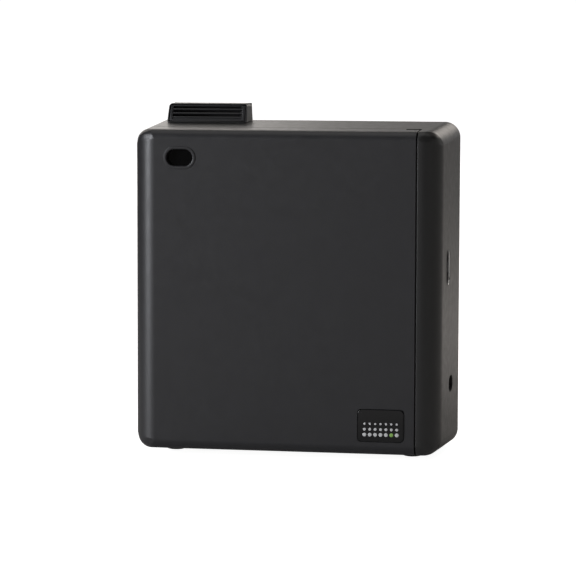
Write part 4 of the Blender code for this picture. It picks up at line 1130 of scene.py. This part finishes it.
def make_gas_cell(number):
    """Round cell with a stepped rim, a perforated disc and a white membrane behind it."""
    node = f"gas_cell_{number}"
    low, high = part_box(node)
    centre, radius, length = (low + high) / 2, (high.z - low.z) / 2, high.y - low.y
    soft, rim, sink = 0.5 * MM, 2.2 * MM, 1.0 * MM
    profile = [(0, sink), (radius - rim, sink)] + arc((radius - soft, soft), soft, -90, 0, 6)
    profile.insert(2, (radius - rim, 0.2 * MM))
    profile.insert(3, (radius - rim + 0.2 * MM, 0))
    waist, band_h = 0.3 * MM, 3 * MM
    profile += [(radius, band_h), (radius - waist, 3.3 * MM), (radius - waist, length - 3.3 * MM),
                (radius, length - band_h), (radius, length - waist), (radius - waist, length), (0, length)]
    bm = new_shape(lathe, (centre.x, low.y, centre.z), "Y", profile, 56)
    piece(node + "_can", bm, "sensor_white", "case", (node,))
    reach, thick = radius - rim - 0.15 * MM, 0.3 * MM
    profile = [(0, 0), (reach, 0), (reach, thick), (0, thick)]
    disc = new_shape(lathe, (centre.x, low.y + 0.75 * MM, centre.z), "Y", profile, 40)
    made = add_solid(node + "_mesh_disc", disc)
    places = [Vector((centre.x, low.y + 0.9 * MM, centre.z))]
    for count, reach in ((6, 2.4), (12, 4.8)):
        for index in range(count):
            turn = 2 * math.pi * index / count
            places.append(places[0] + mm(reach * math.cos(turn), 0, reach * math.sin(turn)))
    change(made, "DIFFERENCE", rods(places, 0.75 * MM, 1 * MM, "Y", 14))
    dress(made, "steel", "case")


def make_blower():
    """Blower housing with a bell mouth, and its wheel of curved blades."""
    low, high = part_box("blower_housing")
    rotor_low, rotor_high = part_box("blower_rotor")
    axis = (rotor_low + rotor_high) / 2
    x, z = axis.x, axis.z
    outline = rounded((x, z), 62 * MM, 62 * MM, 9 * MM, 12)
    made = add_solid("blower_box", new_shape(prism, outline, "Y", high.y, low.y))
    spout = (x - 30 * MM, 17 * MM, low.z), (x - 1 * MM, 37 * MM, z - 22 * MM)
    change(made, "UNION", new_shape(add_box, *spout))
    change(made, "DIFFERENCE", rods([(x, 27 * MM, z)], 28 * MM, 11 * MM, "Y", 96))
    room = (x - 28 * MM, 19 * MM, z - 50 * MM), (x - 3 * MM, 35 * MM, z - 8 * MM)
    change(made, "DIFFERENCE", new_shape(add_box, *room))
    throat, flare, deep = 21 * MM, 3 * MM, 6 * MM
    bell = [(0, -deep), (throat + flare, -deep)] + arc((throat + flare, 1.2 * MM), flare, -90, -180, 8)
    bell += [(throat, deep), (0, deep)]
    change(made, "DIFFERENCE", new_shape(lathe, (x, 15 * MM, z), "Y", bell, 96))
    change(made, "UNION", rods([(x, 31.5 * MM, z)], 1.6 * MM, 7 * MM, "Y"))
    holes, start, end = bmesh.new(), -1 * MM, 3 * MM
    profile = [(0, start), (1.5 * MM, start), (1.5 * MM, end), (0, end)]
    for right, up in ((-1, -1), (1, -1), (-1, 1), (1, 1)):
        lathe(holes, (x + right * 25.5 * MM, low.y + 0.3 * MM, z + up * 25.5 * MM), "Y", profile, 20)
    change(made, "DIFFERENCE", holes)
    dress(made, "louvre_black", "case", ("blower_housing",), 0.35 * MM, 2, 50)
    make_rotor(axis, (rotor_high.x - rotor_low.x) / 2, rotor_low.y, rotor_high.y)


def make_rotor(axis, radius, front_y, back_y):
    """Back disc, hub with a domed nose, and twelve curved blades."""
    plate = 1.6 * MM
    nose = 22.0 * MM
    profile = [(2 * MM, back_y), (radius - 0.4 * MM, back_y), (radius, back_y - 0.4 * MM),
               (radius, back_y - plate), (12 * MM, back_y - plate)]
    profile += arc((12 * MM, back_y - plate - 4 * MM), 4 * MM, 90, 180, 8)
    profile += arc((6.5 * MM, nose + 1.5 * MM), 1.5 * MM, 0, -90, 5) + [(2 * MM, nose), (2 * MM, back_y)]
    bm = new_shape(lathe, (axis.x, 0, axis.z), "Y", profile, 96)
    bmesh.ops.remove_doubles(bm, verts=bm.verts, dist=1e-7)
    count, thick, steps = 12, 1.1 * MM, 8
    inner, outer = 14.5 * MM, radius - 1.0 * MM
    for index in range(count):
        outline = []
        for side in (1, -1):
            run = range(steps + 1) if side > 0 else range(steps, -1, -1)
            for step in run:
                share = step / steps
                reach = inner + (outer - inner) * share
                sweep = math.radians(34) * share ** 1.4
                turn = 2 * math.pi * index / count + sweep + side * thick / 2 / reach
                outline.append((axis.x + reach * math.cos(turn), axis.z + reach * math.sin(turn)))
        prism(bm, outline, "Y", back_y - plate, front_y, 0.3 * MM, 2)
    piece("fan_wheel", bm, "inner_grey", "rotor", ("blower_rotor",), angle=40)


def make_boards():
    """Main board with its shield, antenna and terminals, and rows of small parts."""
    refine("main_board", "board_green", 0.15 * MM, 2)
    refine("processor_can", "shield_tin", 0.6 * MM, 4, cut=can_dimples())
    refine("antenna", "sensor_white", 0.4 * MM)
    make_terminals()
    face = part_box("main_board")[0].y
    chips, tins, golds, whites = bmesh.new(), bmesh.new(), bmesh.new(), bmesh.new()
    for x, z, half_x, half_z, high in ((2, 150, 7, 7, 1.6), (0, 205, 4, 5, 1.4), (50, 192, 6, 4, 1.5),
                                       (84, 150, 3.5, 5, 1.3), (86, 122, 5, 3.5, 1.6), (14, 120, 4, 4, 1.2)):
        add_chip(chips, tins, mm(x, 0, z) + Vector((0, face, 0)), half_x, half_z, high)
    for index in range(4):
        place = mm(58 + 9.5 * index, 0, 100) + Vector((0, face, 0))
        add_capacitor(chips, tins, place, 3.6 * MM, 7.5 * MM)
    for row in range(3):
        for column in range(8):
            place = mm(-14 + 4.2 * column, 0, 176 - 3.4 * row) + Vector((0, face, 0))
            add_box(whites if (row + column) % 3 else chips, place + mm(-1.0, -0.7, -0.55),
                    place + mm(1.0, 0, 0.55), 0.12 * MM)
    tip, radius = -3.2 * MM, 0.5 * MM
    pin = [(0, tip), (0.35 * MM, tip), (radius, -2.6 * MM), (radius, 0), (0, 0)]
    for index in range(7):
        place = mm(90, 0, 176 + 5.0 * index) + Vector((0, face, 0))
        lathe(golds, place, "Y", pin, 14)
    header = mm(90, 0, 191) + Vector((0, face, 0))
    add_box(chips, header + mm(-2.2, -1.4, -17.5), header + mm(2.2, 0, 17.5), 0.2 * MM)
    piece("board_chips", chips, "louvre_black", "case")
    piece("board_metal_parts", tins, "shield_tin", "case")
    piece("board_pins", golds, "contact_gold", "case")
    piece("board_light_parts", whites, "sensor_white", "case")


def can_dimples():
    """Two rows of round vent holes in the shield's lid."""
    low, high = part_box("processor_can")
    places = []
    for row in range(2):
        for column in range(6):
            places.append((low.x + (6.5 + 5 * column) * MM, low.y, high.z - (6 + 4 * row) * MM))
    return rods(places, 0.9 * MM, 0.5 * MM, "Y", 18)


def add_chip(body, legs, place, half_x, half_z, high):
    """A chip with a row of bent legs on its two long sides."""
    add_box(body, place + mm(-half_x, -high, -half_z), place + mm(half_x, -0.2, half_z), 0.2 * MM)
    count = int(half_z * 2 / 1.27)
    for side in (-1, 1):
        for index in range(count):
            z = (index - (count - 1) / 2) * 1.27
            near, far = sorted((side * half_x, side * (half_x + 1.1)))
            add_box(legs, place + mm(near, -0.6, z - 0.2), place + mm(far, 0, z + 0.2), 0.08 * MM)


def add_capacitor(body, top, place, radius, high):
    """An upright capacitor: a dark sleeve with a waist, and a bright top."""
    soft = 0.4 * MM
    profile = [(0, 0), (radius, 0), (radius, -1 * MM), (radius - 0.25 * MM, -1.4 * MM), (radius, -1.8 * MM)]
    profile += arc((radius - soft, soft - high), soft, 0, -90, 5) + [(0, -high)]
    lathe(body, place, "Y", profile, 32)
    foot, face = 0.1 * MM, -0.05 * MM
    disc = [(0, foot), (radius - 0.6 * MM, foot), (radius - 0.75 * MM, face), (0, face)]
    lathe(top, place - Vector((0, high, 0)), "Y", disc, 32)


def make_terminals():
    """Row of screw terminals, each with a round screw sunk in a well."""
    low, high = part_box("terminal_block")
    ways = 10
    pitch = (high.x - low.x) / ways
    cuts, screws = bmesh.new(), bmesh.new()
    middle_z = (low.z + high.z) / 2
    well_r, well_end, radius, length = 1.8 * MM, 2 * MM, 1.6 * MM, 0.9 * MM
    well = [(0, -MM), (well_r, -MM), (well_r, well_end), (0, well_end)]
    screw = [(0, 0), (1.4 * MM, 0), (radius, 0.2 * MM), (radius, length), (0, length)]
    for index in range(ways):
        x = low.x + (index + 0.5) * pitch
        lathe(cuts, (x, low.y, middle_z), "Y", well, 24)
        lathe(screws, (x, low.y + 1.2 * MM, middle_z), "Y", screw, 24)
    refine("terminal_block", "terminal_green", 0.3 * MM, cut=cuts)
    piece("terminal_screws", screws, "steel", "case")


def make_controls():
    """Panel with two round buttons: caps with a dished top and a plain raised sign."""
    refine("control_panel", "inner_grey", 0.35 * MM)
    for node, body in (("power_button", "power_key"), ("test_button", "test_key")):
        low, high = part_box(node)
        centre = (low + high) / 2
        cap, flange, step = 5.4 * MM, 7.2 * MM, high.y - 1.4 * MM
        dish = 0.5 * MM
        profile = [(0, low.y + dish), (2.4 * MM, low.y + dish * 0.85), (4.2 * MM, low.y + dish * 0.3)]
        profile += arc((cap - 0.6 * MM, low.y + 0.6 * MM), 0.6 * MM, -90, 0, 6)
        profile += [(cap, step), (flange - 0.2 * MM, step), (flange, step + 0.2 * MM)]
        profile += [(flange, high.y), (0, high.y)]
        bm = new_shape(lathe, (centre.x, 0, centre.z), "Y", profile, 56)
        piece(node + "_cap", bm, "button_grey", body, (node,))
        sign = bmesh.new()
        level = low.y + dish
        if node == "power_button":
            add_arc_bar(sign, centre, level, 2.0 * MM, 0.28 * MM, 125, 415)
            add_box(sign, (centre.x - 0.28 * MM, level - 0.25 * MM, centre.z + 0.4 * MM),
                    (centre.x + 0.28 * MM, level + 0.3 * MM, centre.z + 2.5 * MM), 0.08 * MM)
        else:
            add_arc_bar(sign, centre, level, 1.9 * MM, 0.28 * MM, 0, 360)
        piece(node + "_sign", sign, "louvre_black", body)


def add_arc_bar(bm, centre, level, radius, half, first, last):
    """A flat raised arc, or a full ring, on a face towards -Y."""
    outline = []
    for reach, run in ((radius + half, (first, last)), (radius - half, (last, first))):
        outline += arc((centre.x, centre.z), reach, *run, 40)
    if last - first >= 360:
        face, foot = level - 0.25 * MM, level + 0.3 * MM
        section = [(-half, face), (half, face), (half, foot), (-half, foot)]
        ring(bm, (centre.x, centre.z), (2 * radius, 2 * radius), radius - 1e-6, "Y", section, 14)
    else:
        prism(bm, outline, "Y", level + 0.3 * MM, level - 0.25 * MM)


def make_battery():
    """Tray with contact plates, and two wrapped cells with a raised positive end."""
    refine("battery_tray", "inner_grey", 0.4 * MM)
    plates = bmesh.new()
    tray_low, tray_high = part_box("battery_tray")
    for number in (1, 2):
        node = f"battery_cell_{number}"
        low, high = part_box(node)
        centre, radius, length = (low + high) / 2, (high.y - low.y) / 2, high.x - low.x
        nub = 1.3 * MM
        body = length - nub
        soft = 0.6 * MM
        wrap = [(0, 0.25 * MM), (radius - 2.2 * MM, 0.25 * MM), (radius - 1.9 * MM, 0)]
        wrap += arc((radius - soft, soft), soft, -90, 0, 6)
        wrap += arc((radius - soft, body - soft), soft, 0, 90, 6)
        wrap += [(radius - 1.9 * MM, body), (radius - 2.2 * MM, body - 0.25 * MM), (0, body - 0.25 * MM)]
        bm = new_shape(lathe, (low.x, centre.y, centre.z), "X", wrap, 64)
        piece(node + "_wrap", bm, "cell_wrap", "case", (node,))
        under, over, soft = body - 0.3 * MM, body - 0.1 * MM, 0.4 * MM
        top = [(0, under), (5.5 * MM, under), (5.5 * MM, over), (3.1 * MM, over)]
        top += arc((2.5 * MM, length - soft), soft, 0, 90, 4) + [(0, length)]
        cap = new_shape(lathe, (low.x, centre.y, centre.z), "X", top, 40)
        piece(node + "_positive_cap", cap, "steel", "case")
        for x in (tray_low.x + 1.6 * MM, tray_high.x - 1.9 * MM):
            near = (x, centre.y - 5 * MM, centre.z - 5 * MM)
            far = (x + 0.3 * MM, centre.y + 5 * MM, centre.z + 5 * MM)
            add_box(plates, near, far, 0.1 * MM)
    piece("battery_contacts", plates, "shield_tin", "case")


def smooth_route(points, steps=10):
    """Catmull-Rom curve through the given points."""
    places = [Vector(p) for p in points]
    places = [2 * places[0] - places[1]] + places + [2 * places[-1] - places[-2]]
    route = []
    for a, b, c, d in zip(places, places[1:], places[2:], places[3:]):
        for step in range(steps):
            t = step / steps
            route.append(0.5 * (2 * b + (c - a) * t + (2 * a - 5 * b + 4 * c - d) * t ** 2
                                + (3 * b - a - 3 * c + d) * t ** 3))
    route.append(places[-2])
    return route


def make_lead(node, points, radius, slot):
    """Round lead along its route."""
    curve = bpy.data.curves.new(node, "CURVE")
    curve.dimensions = "3D"
    curve.bevel_depth = radius
    curve.bevel_resolution = 5
    curve.use_fill_caps = True
    route = smooth_route(points)
    spline = curve.splines.new("POLY")
    spline.points.add(len(route) - 1)
    for point, place in zip(spline.points, route):
        point.co = (*place, 1.0)
    spline.use_smooth = True
    made = bpy.data.objects.new(node + "_wire", curve)
    bpy.context.scene.collection.objects.link(made)
    curve.materials.append(FINISHES[slot])
    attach(made, "case")
    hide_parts(node)


def make_leads():
    """Wiring between the inlet, the blower, the sensors and the terminal block."""
    make_lead("jack_lead", (
        mm(94.6, 9.3, 51.5), mm(84.0, 9.5, 52.5), mm(70.0, 15.0, 62.0), mm(52.0, 20.0, 74.0),
        mm(34.0, 22.0, 79.0), mm(28.0, 22.0, 84.0), mm(28.0, 22.0, 87.6),
    ), 1.7 * MM, "lead_black")
    make_lead("blower_lead", (
        mm(-37.6, 24.0, 66.0), mm(-32.0, 24.0, 66.5), mm(-23.0, 22.5, 72.0), mm(-12.0, 22.0, 78.0),
        mm(-8.0, 22.0, 83.0), mm(-8.0, 22.0, 87.6),
    ), 1.3 * MM, "lead_red")
    make_lead("sensor_lead", (
        mm(-36.6, 24.0, 140.0), mm(-30.0, 23.5, 139.5), mm(-22.0, 20.0, 134.0), mm(-14.0, 20.0, 122.0),
        mm(-8.0, 21.0, 108.0), mm(-7.0, 22.0, 103.0), mm(-7.0, 22.0, 99.4),
    ), 1.6 * MM, "lead_black")


# ---------------------------------------------------------------- studio

# The camera's measures, in metres and millimetres of focal length.
LENS, ROLL_DEG = 172.4, 0.16
CAMERA_PLACE = Vector((0.3454, -1.9849, 0.3221))
CAMERA_TARGET = Vector((0.0021, -0.0457, 0.12486))


def facing(place, target):
    """Place something at a point, with its -Z towards a target and its X level."""
    turn = (Vector(target) - Vector(place)).to_track_quat("-Z", "Y").to_matrix().to_4x4()
    return Matrix.Translation(Vector(place)) @ turn


def make_camera():
    """Long lens, a little to the right and above, at the photograph's viewing angle."""
    data = bpy.data.cameras.new("camera")
    data.lens = LENS
    data.sensor_width = 36.0
    data.clip_end = 100.0
    camera = bpy.data.objects.new("camera", data)
    bpy.context.scene.collection.objects.link(camera)
    roll = Matrix.Rotation(math.radians(ROLL_DEG), 4, "Z")
    camera.matrix_world = facing(CAMERA_PLACE, CAMERA_TARGET) @ roll
    bpy.context.scene.camera = camera


def softbox(name, place, target, size, power, colour):
    """Rectangular lamp that looks at a point, kept out of the camera's view."""
    data = bpy.data.lights.new(name, "AREA")
    data.shape = "RECTANGLE"
    data.size, data.size_y = size
    data.energy = power
    data.color = colour
    lamp = bpy.data.objects.new(name, data)
    bpy.context.scene.collection.objects.link(lamp)
    lamp.matrix_world = facing(place, target)
    lamp.visible_camera = False


def flag(name, place, target, size):
    """Black card that only gloss sees, to keep a direction dark in the reflections."""
    bm = bmesh.new()
    shape = facing(place, target) @ Matrix.Diagonal((size[0] / 2, size[1] / 2, 1.0, 1.0))
    bmesh.ops.create_grid(bm, x_segments=1, y_segments=1, size=1.0, matrix=shape)
    card = add_bmesh(name, bm)
    black = bpy.data.materials.new(name)
    black.use_nodes = True
    shader = black.node_tree.nodes["Principled BSDF"]
    shader.inputs["Base Color"].default_value = (0.0, 0.0, 0.0, 1.0)
    shader.inputs["Roughness"].default_value = 1.0
    shader.inputs["Specular IOR Level"].default_value = 0.0
    card.data.materials.append(black)
    card.visible_camera = False
    card.visible_diffuse = False
    card.visible_shadow = False
    card.visible_transmission = False


def make_floor():
    """Large pale floor that reads as white paper, with a soft shadow under the object."""
    bm = bmesh.new()
    bmesh.ops.create_circle(bm, cap_ends=True, segments=96, radius=30.0)
    floor = add_bmesh("floor", bm)
    floor.location.z = -0.0002
    paper = bpy.data.materials.new("pale_floor")
    paper.use_nodes = True
    tree = paper.node_tree
    shader = tree.nodes["Principled BSDF"]
    shader.inputs["Base Color"].default_value = (0.62, 0.61, 0.60, 1.0)
    shader.inputs["Roughness"].default_value = 0.9
    shader.inputs["Specular IOR Level"].default_value = 0.0
    white = tree.nodes.new("ShaderNodeEmission")
    white.inputs["Color"].default_value = (1.0, 1.0, 1.0, 1.0)
    white.inputs["Strength"].default_value = 0.95
    both = tree.nodes.new("ShaderNodeAddShader")
    tree.links.new(shader.outputs["BSDF"], both.inputs[0])
    tree.links.new(white.outputs["Emission"], both.inputs[1])
    path = tree.nodes.new("ShaderNodeLightPath")
    seen = tree.nodes.new("ShaderNodeMixShader")
    tree.links.new(path.outputs["Is Camera Ray"], seen.inputs["Fac"])
    tree.links.new(shader.outputs["BSDF"], seen.inputs[1])
    tree.links.new(both.outputs["Shader"], seen.inputs[2])
    tree.links.new(seen.outputs["Shader"], tree.nodes["Material Output"].inputs["Surface"])
    floor.data.materials.append(paper)


def make_world():
    """White to the camera; to everything else a room that is pale at eye level and dim overhead."""
    world = bpy.data.worlds.new("studio")
    world.use_nodes = True
    bpy.context.scene.world = world
    tree = world.node_tree
    direction = tree.nodes.new("ShaderNodeTexCoord").outputs["Generated"]
    parts = tree.nodes.new("ShaderNodeSeparateXYZ")
    tree.links.new(direction, parts.inputs["Vector"])
    ramp = tree.nodes.new("ShaderNodeValToRGB")
    ramp.color_ramp.interpolation = "EASE"
    ends = ramp.color_ramp.elements
    ends[0].position, ends[0].color = 0.0, (0.30, 0.30, 0.30, 1.0)
    ends[1].position, ends[1].color = 1.0, (1.0, 0.98, 0.96, 1.0)
    for position, level in ((0.44, 0.46), (0.56, 0.46), (0.72, 0.03), (0.90, 0.03)):
        ends.new(position).color = (level, level * 0.985, level * 0.97, 1.0)
    tree.links.new(between(tree, parts.outputs["Z"], 0.0, 1.0, -1.0, 1.0), ramp.inputs["Fac"])
    room = tree.nodes["Background"]
    tree.links.new(ramp.outputs["Color"], room.inputs["Color"])
    room.inputs["Strength"].default_value = 1.0
    white = tree.nodes.new("ShaderNodeBackground")
    white.inputs["Color"].default_value = (1.0, 1.0, 1.0, 1.0)
    white.inputs["Strength"].default_value = 1.05
    path = tree.nodes.new("ShaderNodeLightPath")
    seen = tree.nodes.new("ShaderNodeMixShader")
    tree.links.new(path.outputs["Is Camera Ray"], seen.inputs["Fac"])
    tree.links.new(room.outputs["Background"], seen.inputs[1])
    tree.links.new(white.outputs["Background"], seen.inputs[2])
    tree.links.new(seen.outputs["Shader"], tree.nodes["World Output"].inputs["Surface"])


def make_studio():
    """Plain pale floor, a soft light from the left front, and a wide one behind and above."""
    bpy.context.scene.view_settings.view_transform = "Standard"
    make_world()
    make_floor()
    middle = Vector((0, 0, 0.12))
    softbox("left_light", (-2.1, -1.75, 0.5), middle, (0.7, 2.4), 100.0, (0.93, 0.95, 1.0))
    softbox("back_light", (-1.7, 3.0, 1.8), middle, (2.6, 2.6), 40.0, (1.0, 0.95, 0.90))
    softbox("floor_light", (0.40, 0.95, 0.55), (0.40, 0.95, 0.0), (0.5, 0.9), 3.6, (1.0, 0.93, 0.86))
    flag("left_flag", (-1.2, 0.45, 0.7), (-0.1, 0.45, 0.7), (1.9, 1.6))
    flag("right_flag", (0.62, -1.15, 0.6), (0.1, -0.05, 0.6), (0.5, 1.4))


# ---------------------------------------------------------------- the whole

def main():
    make_camera()
    make_studio()
    make_finishes()
    make_case()
    make_cover()
    make_window()
    make_badge()
    make_back()
    make_hinge_pins()
    make_screws()
    make_feet()
    make_hood()
    make_lock()
    make_power_jack()
    make_air_path()
    make_status_light()
    make_sensors()
    make_blower()
    make_boards()
    make_controls()
    make_battery()
    make_leads()


main()
